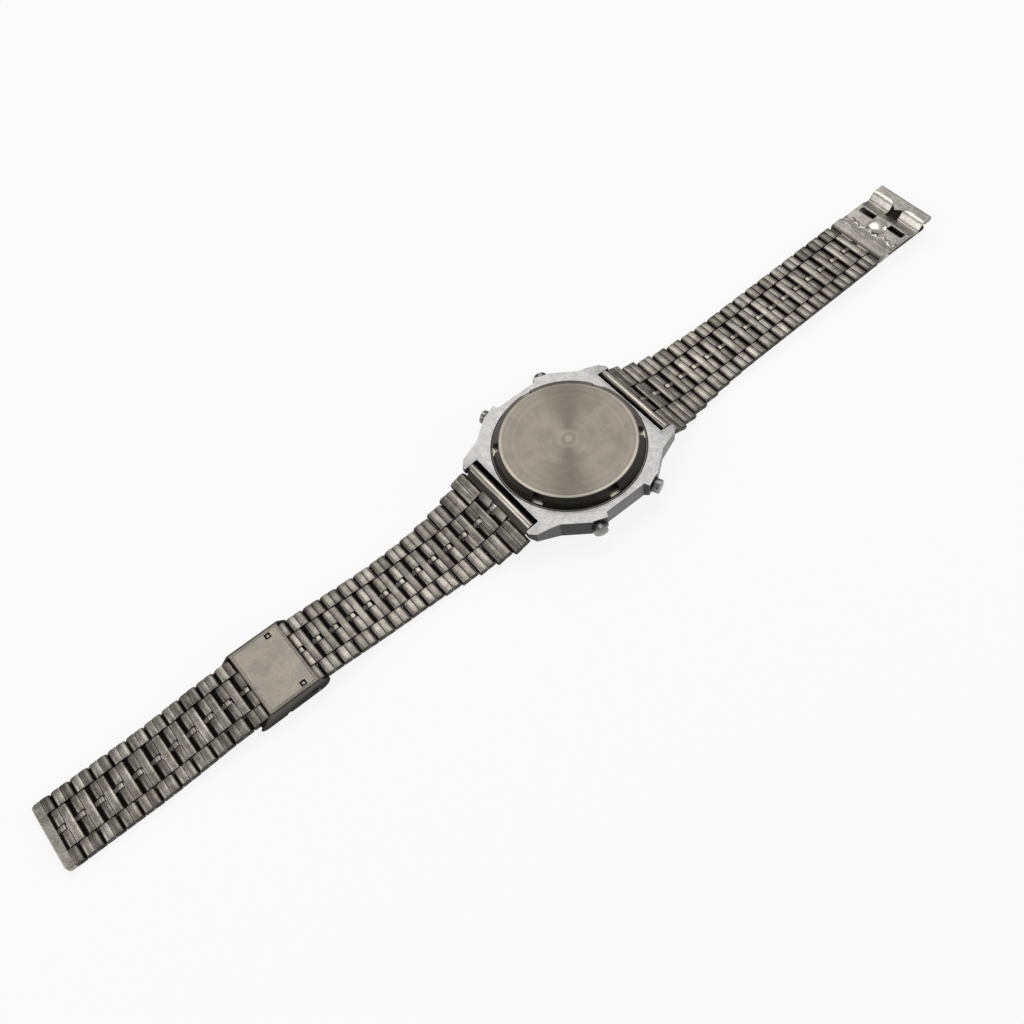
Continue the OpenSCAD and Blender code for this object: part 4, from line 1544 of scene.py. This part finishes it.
@dataclass
class Face:
    """The front: the crystal, the printed mask round the display, and the display's figures, in millimetres."""

    crystal_half: tuple[float, float] = (10.4, 11.4)
    crystal_z: tuple[float, float] = (0.1, 1.4)
    corner: float = 4.0
    mask_z: tuple[float, float] = (1.95, 2.2)
    mask_r: float = 12.9
    window: tuple[float, float] = (4.5, 8.5)
    ink_z: tuple[float, float] = (2.2, 2.228)
    line_gaps: tuple[float, float] = (0.45, 0.8)
    line_width: float = 0.12
    tick_len: float = 0.9
    tick_half: float = 0.08
    tick_pitch: float = 2.2
    tick_gap: float = 1.6
    colon_x: tuple[float, float] = (-2.4, -0.7)
    colon_y: tuple[float, float] = (-1.36, -0.96)

    def octagon(self, name: str, inset: float, low: float, high: float) -> bpy.types.Object:
        """Makes a plate with the crystal's outline, drawn in by an inset.

        Args:
            name: The plate's name.
            inset: How far it is drawn in.
            low: The height of its underside.
            high: The height of its top.

        Returns:
            The plate.
        """
        x, y = (half - inset for half in self.crystal_half)
        made = block(name, (-x, -y, low), (x, y, high))
        round_over(made, lambda edge: runs(edge, Axis.Z), self.corner - 0.4 * inset, 1)
        return made

    def crystal(self) -> None:
        """Makes the crystal with its polished front chamfer."""
        made = self.octagon("crystal_plate", 0, *self.crystal_z)
        round_over(made, lambda edge: middle(edge).z < self.crystal_z[0] + 0.001, 0.25, 2)
        finish_piece(made, "case", Crystal().build(), ["crystal"], smooth=20)

    def mask(self) -> None:
        """Makes the dark printed mask with its window."""
        made = rod("dial_mask_print", self.mask_r, (0, 0, self.mask_z[0]), (0, 0, self.mask_z[1]), 96)
        x, y = self.window
        tool = block("window", (-x, -y, 0), (x, y, 4))
        round_over(tool, lambda edge: runs(edge, Axis.Z), 0.8, 4)
        cut(made, tool)
        soften(made, 0.05, 1, 40)
        finish_piece(made, "case", DIAL_PRINT.build(), ["dial_mask"])

    def frame_lines(self) -> None:
        """Makes the thin printed lines round the window and the marks beside it."""
        low, high = self.mask_z[0] - 0.03, self.mask_z[0]
        x, y = self.window
        lines = []
        for grow in self.line_gaps:
            width = self.line_width
            outer = block("line", (-x - grow - width, -y - grow - width, low),
                          (x + grow + width, y + grow + width, high))
            inner = block("hole", (-x - grow, -y - grow, low - 1), (x + grow, y + grow, high + 1))
            for plate in (outer, inner):
                round_over(plate, lambda edge: runs(edge, Axis.Z), 1.0, 4)
            cut(outer, inner)
            lines.append(outer)
        for number in range(-3, 4):
            for side in (-1, 1):
                start = side * (x + self.tick_gap)
                ends = sorted((start, start + side * self.tick_len))
                at = number * self.tick_pitch
                tick = block("tick", (ends[0], at - self.tick_half, low), (ends[1], at + self.tick_half, high))
                soften(tick, 0.02, 1)
                lines.append(tick)
        made = join(lines, "dial_lines")
        finish_piece(made, "case", DIAL_LINE.build())

    def figure(self, digit: str, place: tuple[float, float], size: tuple[float, float],
               stroke: float) -> list[bpy.types.Object]:
        """Makes the lit segments of one digit, which reads along Y with its top towards +X.

        Args:
            digit: The digit.
            place: Its lower left corner, along Y and X.
            size: Its width and its height.
            stroke: The width of its segments.

        Returns:
            The segments.
        """
        made = []
        for key, ends in SEGMENTS.items():
            if key in DARK_SEGMENTS[digit]:
                continue
            (u0, v0, _), (u1, v1, _) = ends
            y = sorted((place[0] + u0 * size[0], place[0] + u1 * size[0]))
            x = sorted((place[1] + v0 * size[1], place[1] + v1 * size[1]))
            grow_y = 0 if y[1] > y[0] else stroke / 2
            grow_x = 0 if x[1] > x[0] else stroke / 2
            low = (x[0] - grow_x, y[0] - grow_y, self.ink_z[0])
            high = (x[1] + grow_x, y[1] + grow_y, self.ink_z[1])
            bar = block("segment", low, high)
            round_over(bar, lambda edge: runs(edge, Axis.Z), 0.45 * stroke, 1)
            made.append(bar)
        return made

    def figures(self) -> None:
        """Makes the hours and minutes, the colon, the seconds and the date."""
        made = []
        for digits, places, foot, size, stroke in FIGURES:
            for digit, at in zip(digits, places):
                made += self.figure(digit, (at, foot), size, stroke)
        for x in self.colon_x:
            dot = block("dot", (x, self.colon_y[0], self.ink_z[0]), (x + 0.4, self.colon_y[1], self.ink_z[1]))
            soften(dot, 0.01, 1)
            made.append(dot)
        ink = join(made, "display_figures")
        finish_piece(ink, "case", LCD_INK.build())

    def build(self) -> None:
        """Makes the front."""
        self.crystal()
        self.mask()
        self.frame_lines()
        self.figures()


# The clasp and the hook plate

@dataclass
class Clasp:
    """The sliding clasp: an inner plate between two cheeks, and the outer cover, in millimetres."""

    start: float = -1.2125
    length: float = 14.7
    plate_inset: float = 1.7
    plate_length: float = 10.1
    plate_z: tuple[float, float] = (0.9, 1.35)
    cheek_in: float = 7.075
    cheek_t: float = 0.4
    cheek_z: tuple[float, float] = (-1.9, 1.2)
    cheek_rounds: tuple[tuple[float, int], tuple[float, int]] = ((2.1, 10), (1.4, 8))
    notch: tuple[tuple[float, float], tuple[float, float]] = ((2.7, -0.6), (3.9, -0.2))
    nick_x: tuple[float, float] = (8.6, 9.3)
    border: float = 0.45
    border_step: tuple[float, float] = (0.06, 0.08)
    socket: float = 1.1
    socket_x: float = 2
    socket_y: float = 5.9
    stud_half: float = 0.28
    stud_z: tuple[float, float] = (-0.32, -0.06)
    cover_z: float = -2.05
    cover_t: float = 0.5
    pin_x: float = 1.3875
    pin_z: float = -1.42
    knuckle_r: float = 0.58
    pin_r: float = 0.3

    def plate(self) -> bpy.types.Object:
        """Makes the inner plate with its stepped border and its two square sockets.

        Returns:
            The plate with its studs.
        """
        start = self.start + self.plate_inset
        end = start + self.plate_length
        side = self.cheek_in + 0.1
        made = block("plate", (start, -side, self.plate_z[0]), (end, side, self.plate_z[1]))
        with editing(made):
            pick(Kind.FACE, lambda face: face.normal.z > 0.9)
            width, depth = self.border_step
            for inset, rise in ((self.border, 0), (width, -depth), (width, depth)):
                bpy.ops.mesh.inset(thickness=inset, depth=rise)
        near, half, top = start + self.socket_x, self.socket / 2, self.plate_z[1]
        sockets = [block("socket", (near, way * self.socket_y - half, top - 0.3),
                         (near + self.socket, way * self.socket_y + half, 3)) for way in (-1, 1)]
        cut(made, *sockets)
        soften(made, 0.04, 2, 30)
        middle_x, wide = near + half, self.stud_half
        studs = [block("stud", (middle_x - wide, way * self.socket_y - wide, top + self.stud_z[0]),
                       (middle_x + wide, way * self.socket_y + wide, top + self.stud_z[1])) for way in (-1, 1)]
        for stud in studs:
            soften(stud, 0.05, 2)
        return join([made, *studs], "plate")

    def cheek(self, way: int) -> bpy.types.Object:
        """Makes one cheek, which is rounded below and falls away past both ends of the plate.

        Args:
            way: 1 for the cheek at +Y, -1 for the other.

        Returns:
            The cheek.
        """
        ends = sorted((way * self.cheek_in, way * (self.cheek_in + self.cheek_t)))
        low, high = self.cheek_z
        end = self.start + self.length
        made = block("cheek", (self.start, ends[0], low), (end, ends[1], high))
        for at, (radius, steps) in zip((self.start, end), self.cheek_rounds):
            round_over(made, lambda edge, x=at: runs(edge, Axis.Y) and abs(middle(edge).x - x) < 0.001
                       and middle(edge).z < low + 0.001, radius, steps)
        slice_off(made, (self.start + self.plate_inset - 0.3, 0, high), (-1.0, 0, 1.4))
        slice_off(made, (self.start + self.plate_inset + self.plate_length + 0.2, 0, high), (1.5, 0, 2.7))
        (notch_x, notch_z), (far_x, far_z) = self.notch
        notch = block("notch", (self.start + notch_x, ends[0] - 1, notch_z),
                      (self.start + far_x, ends[1] + 1, far_z))
        nick = block("nick", (self.start + self.nick_x[0], ends[0] - 1, low - 1),
                     (self.start + self.nick_x[1], ends[1] + 1, low + 0.35))
        hole = rod("pin_hole", self.pin_r + 0.05, (self.pin_x, ends[0] - 1, self.pin_z),
                   (self.pin_x, ends[1] + 1, self.pin_z), 24)
        cut(made, notch, nick, hole)
        soften(made, 0.08, 2, 40)
        return made

    def shade_and_dirt(self, point: Vector) -> float:
        """Says how dark a point is painted: painted shade darkens the cheeks' outer faces, most below, the sockets
        round their studs and a thin line round the plate's border; the plate is clean.

        Args:
            point: A place on the piece.

        Returns:
            How dark it is painted, from 0 to 1.
        """
        x = point.x - (self.start + self.plate_inset + self.socket_x + self.socket / 2)
        y = abs(point.y) - self.socket_y
        if max(abs(x), abs(y)) < self.socket / 2 + 0.02 and self.plate_z[1] - 0.5 < point.z:
            return 0.0 if max(abs(x), abs(y)) < 0.3 else 1.0
        if abs(point.y) > self.cheek_in - 0.01:
            return clamp(0.84 - 0.5 * (point.z - 0.9))
        return 0.8 if self.plate_z[1] - 0.12 < point.z < self.plate_z[1] - 0.05 else 0.0

    def cover(self) -> bpy.types.Object:
        """Makes the outer cover with its knuckle and hinge pin.

        Returns:
            The cover.
        """
        half = self.cheek_in - 0.12
        end = self.start + self.length - 0.5
        sheet = block("cover", (self.pin_x, -half, self.cover_z), (end, half, self.cover_z + self.cover_t))
        round_over(sheet, lambda edge: runs(edge, Axis.Y) and middle(edge).x > end - 0.001, 0.22, 3)
        soften(sheet, 0.08, 2, 50)
        knuckle = rod("knuckle", self.knuckle_r, (self.pin_x, -half, self.pin_z), (self.pin_x, half, self.pin_z), 32)
        reach = self.cheek_in + self.cheek_t
        pin = rod("cover_pin", self.pin_r, (self.pin_x, -reach, self.pin_z), (self.pin_x, reach, self.pin_z), 24)
        for bar in (knuckle, pin):
            soften(bar, 0.05, 2, 50)
        return join([sheet, knuckle, pin], "clasp_cover_sheet")

    def build(self) -> None:
        """Makes the clasp."""
        place = along_strap("clasped_links", "left_link_13")
        material = CLASP_STEEL.build()
        body = join([self.plate(), self.cheek(1), self.cheek(-1)], "clasp_body")
        mark(body, "shade_and_grime", self.shade_and_dirt)
        finish_piece(body, "clasp_frame", material, ["clasp_frame"], place, smooth=30, flat=True)
        cover = self.cover()
        # Painted shade on the cover's upper part, inside the clasp.
        mark(cover, "shade_and_grime", lambda point: 0.5 if point.z > self.cover_z + 0.4 else 0.0)
        finish_piece(cover, "clasp_cover", material, ["clasp_cover"], place, smooth=30, flat=True)


@dataclass
class HookPlate:
    """The pressed plate at the end of the hook strap, with its latch slots and folded lip, in millimetres."""

    length: float = 15.5
    width: float = 13.3
    sheet_t: float = 0.45
    rise: float = 0.3
    collar: tuple[float, float] = (-0.5, 2.5)
    collar_t: float = 1.9
    dip_x: float = 8.8
    dip_len: float = 2.3
    dip_h: float = 0.5
    lip_x: float = 13.0
    lip_h: float = 1.1
    fold_r: float = 0.6
    slot_x: float = 7.1
    slot_len: float = 1.4
    slot_w: float = 3.9
    slot_y: float = 1.9
    window_x: float = 10.2
    window_half: float = 1.35
    under_t: float = 0.35
    worn_t: float = 0.14
    layer_t: float = 0.16
    bump_low: Triple = (3.4, -2.7, -1.3)
    bump_high: Triple = (8.7, 2.4, 1.4)
    room_r: float = 0.75
    pin_r: float = 0.35

    @property
    def high(self) -> float:
        """Gives the height of the lip's sheet."""
        return self.rise + self.lip_h

    def sheet_z(self, x: float) -> float:
        """Gives the height of the sheet's middle along its length.

        Args:
            x: A place along the plate.

        Returns:
            The height of the sheet's middle there.
        """
        low = self.rise - self.dip_h
        valley = self.dip_x + self.dip_len
        if x < valley:
            return self.rise + (low - self.rise) * s_curve((x - self.dip_x) / self.dip_len)
        return low + (self.high - low) * s_curve((x - valley) / (self.lip_x - valley))

    def lip_edge(self, y: float) -> float:
        """Gives where the lip's folded layer ends: a pointed tab in the middle and an arch on each side.

        Args:
            y: A place across the plate.

        Returns:
            Where the layer ends along X.
        """
        side = abs(y)
        tab_half = 1.7
        if side < tab_half:
            return self.lip_x - 0.2 - 1.4 * (1 - side / tab_half) ** 0.9
        share = (side - tab_half) / (self.width / 2 - tab_half)
        return self.lip_x - 0.2 + 0.75 * math.sin(math.pi * share) ** 0.7

    def worn_edge(self, y: float) -> float:
        """Gives where the worn layer over the collar ends."""
        ragged = 0.36 * math.sin(1.6 * y + 0.6) + 0.26 * math.sin(3.9 * y + 1) + 0.12 * math.sin(8.3 * y + 2)
        return 4.35 + ragged - 0.05 * y

    def pressed_sheet(self) -> bpy.types.Object:
        """Makes the main sheet with its slots and its opening.

        Returns:
            The sheet.
        """
        half = self.width / 2
        made = grid("sheet", (self.collar[1] - 0.4, -half), (self.length - self.fold_r, half), (56, 52),
                    lambda x, y: (x, y, self.sheet_z(x)))
        apply_modifier(made, "SOLIDIFY", thickness=self.sheet_t, offset=0)
        tools = [block("opening", (self.window_x, -self.window_half, -2), (self.lip_x, self.window_half, 5))]
        for way in (-1, 1):
            ends = sorted((way * self.slot_y, way * (self.slot_y + self.slot_w)))
            tool = block("slot", (self.slot_x, ends[0], -2), (self.slot_x + self.slot_len, ends[1], 4))
            round_over(tool, lambda edge: runs(edge, Axis.Z), 0.3, 3)
            tools.append(tool)
        cut(made, *tools)
        soften(made, 0.07, 2, 50)
        return made

    def under_sheet(self) -> bpy.types.Object:
        """Makes the front sheet that lies below the slots and the opening.

        Returns:
            The sheet.
        """
        low = -self.collar_t / 2
        half = self.width / 2
        made = block("under", (self.collar[1] - 0.4, -half, low), (self.lip_x + 1.3, half, low + self.under_t))
        round_over(made, lambda edge: runs(edge, Axis.Z) and middle(edge).x > self.lip_x, 1.2, 5)
        soften(made, 0.1, 2)
        return made

    def slot_ridges(self) -> list[bpy.types.Object]:
        """Makes the pressed-up edge on the far side of each latch slot.

        Returns:
            The two ridges.
        """
        made = []
        for way in (-1, 1):
            ends = sorted((way * (self.slot_y + 0.1), way * (self.slot_y + self.slot_w - 0.1)))
            start = self.slot_x + self.slot_len - 0.12
            ridge = block("ridge", (start, ends[0], self.rise - 0.2), (start + 0.42, ends[1], self.rise + 0.46))
            round_over(ridge, lambda edge: middle(edge).z > self.rise, 0.16, 3)
            made.append(ridge)
        return made

    def worn_layer(self) -> bpy.types.Object:
        """Makes the thin ragged layer that laps over the collar's edge.

        Returns:
            The layer.
        """
        half = self.width / 2 - 0.25
        start = self.collar[1] - 0.5

        def place(u: float, y: float) -> Triple:
            """Lays the layer down from the collar to its ragged edge.

            Args:
                u: The share of the way from the collar to the ragged edge.
                y: A place across the plate.

            Returns:
                The point.
            """
            x = start + (self.worn_edge(y) - start) * u
            lumps = 0.06 * u * math.sin(2.6 * y + 3 * u) * math.sin(6.1 * u + y)
            drop = 0.3 * (1 - s_curve(u * 1.3))
            return x, y, self.rise + self.sheet_t / 2 + 0.07 + drop + lumps
        made = grid("worn_layer", (0, -half), (1, half), (12, 90), place)
        apply_modifier(made, "SOLIDIFY", thickness=self.worn_t, offset=0)
        return made

    def bump(self) -> bpy.types.Object:
        """Makes the rounded bump between the latch slots.

        Returns:
            The bump.
        """
        (x0, y0, z0), (x1, y1, z1) = self.bump_low, self.bump_high
        made = block("bump", (x0, y0, self.rise + z0), (x1, y1, self.rise + z1))
        apply_modifier(made, "SUBSURF", levels=4, render_levels=4)
        return made

    def lip(self) -> list[bpy.types.Object]:
        """Makes the folded end, the layer on top of it and the flap below.

        Returns:
            The fold, the layer and the flap.
        """
        half = self.width / 2
        fold_z = self.high + self.sheet_t / 2 - self.fold_r
        fold_x = self.length - self.fold_r
        top = self.high + self.sheet_t / 2
        fold = rod("fold", self.fold_r, (fold_x, -half, fold_z), (fold_x, half, fold_z), 32)
        soften(fold, 0.06, 2, 50)
        layer = grid("layer", (0, -half), (1, half), (6, 56),
                     lambda u, y: (self.lip_edge(y) + (fold_x - self.lip_edge(y)) * u, y, top - 0.04))
        apply_modifier(layer, "SOLIDIFY", thickness=self.layer_t, offset=0)
        soften(layer, 0.03, 1, 50)
        flap = block("flap", (self.length - 2, -half, fold_z - self.fold_r),
                     (fold_x, half, fold_z - self.fold_r + self.sheet_t))
        soften(flap, 0.08)
        return [fold, layer, flap]

    def rolled_collar(self) -> bpy.types.Object:
        """Makes the rolled collar that holds the last link's pin.

        Returns:
            The collar.
        """
        link = BrickLink()
        half = self.width / 2
        made = block("collar", (self.collar[0], -half, -self.collar_t / 2),
                     (self.collar[1], half, self.collar_t / 2))
        round_over(made, lambda edge: runs(edge, Axis.Y) and middle(edge).x < 0, 0.6, 6)
        round_over(made, lambda edge: runs(edge, Axis.Y) and middle(edge).x > 2, 0.25, 3)
        inner = link.centre_half + link.row_gap
        cut(made, rod("room", self.room_r, (0, -inner, 0), (0, inner, 0), 32),
            block("slot", (-2, -inner, -2), (0, inner, 0)))
        soften(made, 0.08, 2, 50)
        return made

    def build(self) -> None:
        """Makes the hook plate."""
        pin = rod("pin", self.pin_r, (0, -self.width / 2 + 0.5, 0), (0, self.width / 2 - 0.5, 0), 16)
        bump = self.bump()
        parts = [self.pressed_sheet(), self.under_sheet(), self.rolled_collar(), self.worn_layer(), pin]
        # Painted highlight on the slopes beside the opening and on the bump; the collar and the worn layer are made
        # brighter.
        shines = (self.wing_highlight, lambda _: 0.0, lambda _: 0.45, lambda _: 0.55, lambda _: 0.0)
        for part, shine in zip(parts, shines):
            mark(part, "tone", shine)
        mark(bump, "tone", lambda _: 1.0)
        made = join(parts + [bump] + self.lip() + self.slot_ridges(), "hook_plate_sheet")
        mark(made, "shade_and_grime", self.shade_and_dirt)
        finish_piece(made, "hook_plate", HOOK_STEEL.build(), ["hook_plate"],
                     along_strap("hook_plate", "", behind="right_link_17"), smooth=35)

    def wing_highlight(self, point: Vector) -> float:
        """Gives the painted highlight on the sheet: the two slopes beside the opening are painted bright."""
        return 0.6 * clamp((point.x - 11.2) / 0.7) if abs(point.y) > self.window_half and point.x < 13.4 else 0.0

    def shade_and_dirt(self, point: Vector) -> float:
        """Says how dark a point is: a dark band runs along the ragged edge, and painted shade darkens the collar's
        near roll, the inside below the sheet and the dip before the lip.

        Args:
            point: A place on the plate.

        Returns:
            How dark it is, from 0 to 1.
        """
        wear_and_shade = 0.0
        if 3.2 < point.x < 5.2 and (abs(point.y) > 1.6 or point.x < 4.5) and point.z > 0.3:
            wear_and_shade = 0.9 * clamp(1.2 - abs(point.x - self.worn_edge(point.y)) / 0.3)
        # Painted shade on the collar's near roll, on the under sheet below the openings, and in the dip.
        if point.x < 0.2 and point.z > -0.9:
            wear_and_shade = max(wear_and_shade, 0.75 * clamp((0.2 - point.x) / 0.2))
        if self.collar[1] < point.x and -0.7 < point.z < -0.5:
            wear_and_shade = 1.0
        valley = clamp(1 - abs(point.x - (self.dip_x + 0.55 * self.dip_len)) / 1.5)
        if point.z > -0.3:
            wear_and_shade = max(wear_and_shade, 0.45 * valley ** 1.5)
        return wear_and_shade


# The pieces that stay as packed

def dress_inner_nodes() -> None:
    """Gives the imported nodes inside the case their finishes."""
    finishes = {
        "back_gasket": BLACK_RUBBER, "lcd_panel": LCD_BACK, "module_frame": MODULE_PLASTIC,
        "circuit_board": BOARD_LACQUER, "battery": CELL_STEEL, "pusher_springs": WIRE_STEEL,
        "spring_bars": WIRE_STEEL,
    }
    built: dict[str, bpy.types.Material] = {}
    for node, finish in finishes.items():
        if finish.name not in built:
            built[finish.name] = finish.build()
        mesh = frame["nodes"][node].data
        mesh.materials.clear()
        mesh.materials.append(built[finish.name])
        LOG.info("%s keeps its solid, in %s", node, finish.name)


# The studio

@dataclass(frozen=True)
class Lamp:
    """A soft square lamp that points at the watch. Its place is in metres."""

    name: str
    place: Triple
    size: float
    watts: float
    colour: Colour = (1.0, 1.0, 1.0)

    def build(self) -> None:
        """Adds the lamp."""
        light = bpy.data.lights.new(self.name, "AREA")
        light.shape = "SQUARE"
        light.size = self.size
        light.energy = self.watts
        light.color = self.colour
        lamp = bpy.data.objects.new(self.name, light)
        lamp.location = self.place
        lamp.rotation_euler = (-Vector(self.place)).to_track_quat("-Z", "Y").to_euler()
        bpy.context.scene.collection.objects.link(lamp)


@dataclass
class Studio:
    """The pale floor, the soft light and the camera."""

    camera_place: Triple = (-0.0724761, -0.0955549, 0.1763254)
    ahead: Triple = (0.27413485, 0.45385472, -0.84785965)
    rightward: Triple = (0.77642136, -0.62467807, -0.08334981)
    lens: float = 38.5656
    floor_half: float = 1.5
    floor_z: float = -0.00005
    floor_glow: float = 0.86
    sky_light: float = 0.42

    def floor_finish(self) -> bpy.types.Material:
        """Builds the floor's pale finish, which is clear from below so that the front can be seen.

        Returns:
            The material.
        """
        material = bpy.data.materials.new("pale_floor")
        material.use_nodes = True
        graph = Graph(material.node_tree)
        path = graph.node("LightPath")
        seen = graph.math("MAXIMUM", path.outputs["Is Camera Ray"], path.outputs["Is Transmission Ray"])
        seen = graph.math("MAXIMUM", seen, path.outputs["Is Glossy Ray"])
        plain = graph.node("BsdfDiffuse", {"Color": (0.9, 0.9, 0.9, 1)})
        glow = graph.node("Emission", {"Color": (1, 1, 1, 1), "Strength": 1.0})
        pale = graph.node("MixShader", {0: graph.math("MULTIPLY", seen, self.floor_glow), 1: plain.outputs[0],
                                        2: glow.outputs[0]})
        clear = graph.node("BsdfTransparent")
        below = graph.node("NewGeometry").outputs["Backfacing"]
        both = graph.node("MixShader", {0: below, 1: pale.outputs[0], 2: clear.outputs[0]})
        graph.tree.links.new(both.outputs[0], graph.node("OutputMaterial").inputs[0])
        return material

    def floor(self) -> None:
        """Adds the floor."""
        bpy.ops.mesh.primitive_plane_add(size=2 * self.floor_half, location=(0, 0, self.floor_z))
        take_only(bpy.context.object)
        floor = bake_place(bpy.context.object, "floor")
        floor.data.materials.append(self.floor_finish())
        floor.visible_shadow = False

    def world(self) -> None:
        """Sets an even pale sky."""
        world = bpy.data.worlds.new("studio_sky")
        world.use_nodes = True
        bpy.context.scene.world = world
        graph = Graph(world.node_tree)
        sky = graph.node("Background", {"Color": (0.93, 0.96, 1.0, 1), "Strength": self.sky_light})
        graph.tree.links.new(sky.outputs[0], graph.node("OutputWorld").inputs[0])

    def camera(self) -> None:
        """Adds the camera at the photograph's place."""
        camera = bpy.data.objects.new("camera", bpy.data.cameras.new("camera"))
        camera.data.lens = self.lens
        camera.data.sensor_width = 36
        camera.data.clip_start = 0.005
        camera.data.clip_end = 20
        ahead = Vector(self.ahead)
        rightward = Vector(self.rightward)
        upward = rightward.cross(ahead)
        turn = Matrix((rightward, upward, -ahead)).transposed().to_4x4()
        camera.matrix_world = Matrix.Translation(self.camera_place) @ turn
        bpy.context.scene.collection.objects.link(camera)
        bpy.context.scene.camera = camera

    def build(self) -> None:
        """Sets the whole studio."""
        self.camera()
        self.floor()
        self.world()
        for lamp in (Lamp("overhead", (0.18, 0.30, 0.58), size=0.55, watts=1.7, colour=(1.0, 0.985, 0.96)),
                     Lamp("left_soft", (-0.55, 0.15, 0.35), size=0.3, watts=0.7),
                     Lamp("right_soft", (0.55, -0.30, 0.25), size=0.25, watts=0.6),
                     Lamp("from_below", (-0.1, -0.1, -0.5), size=0.4, watts=0.35)):
            lamp.build()
        bpy.context.scene.view_settings.view_transform = "Standard"


def main() -> None:
    """Builds the studio and the watch in order."""
    logging.basicConfig(level=logging.INFO, format="%(message)s")
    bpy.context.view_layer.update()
    Studio().build()
    Bracelet().build()
    for side in ("left", "right"):
        EndLink(side).build()
    WatchCase().build()
    CaseBack().build()
    PushButtons().build()
    Face().build()
    Clasp().build()
    HookPlate().build()
    dress_inner_nodes()


if __name__ == "__main__":
    main()
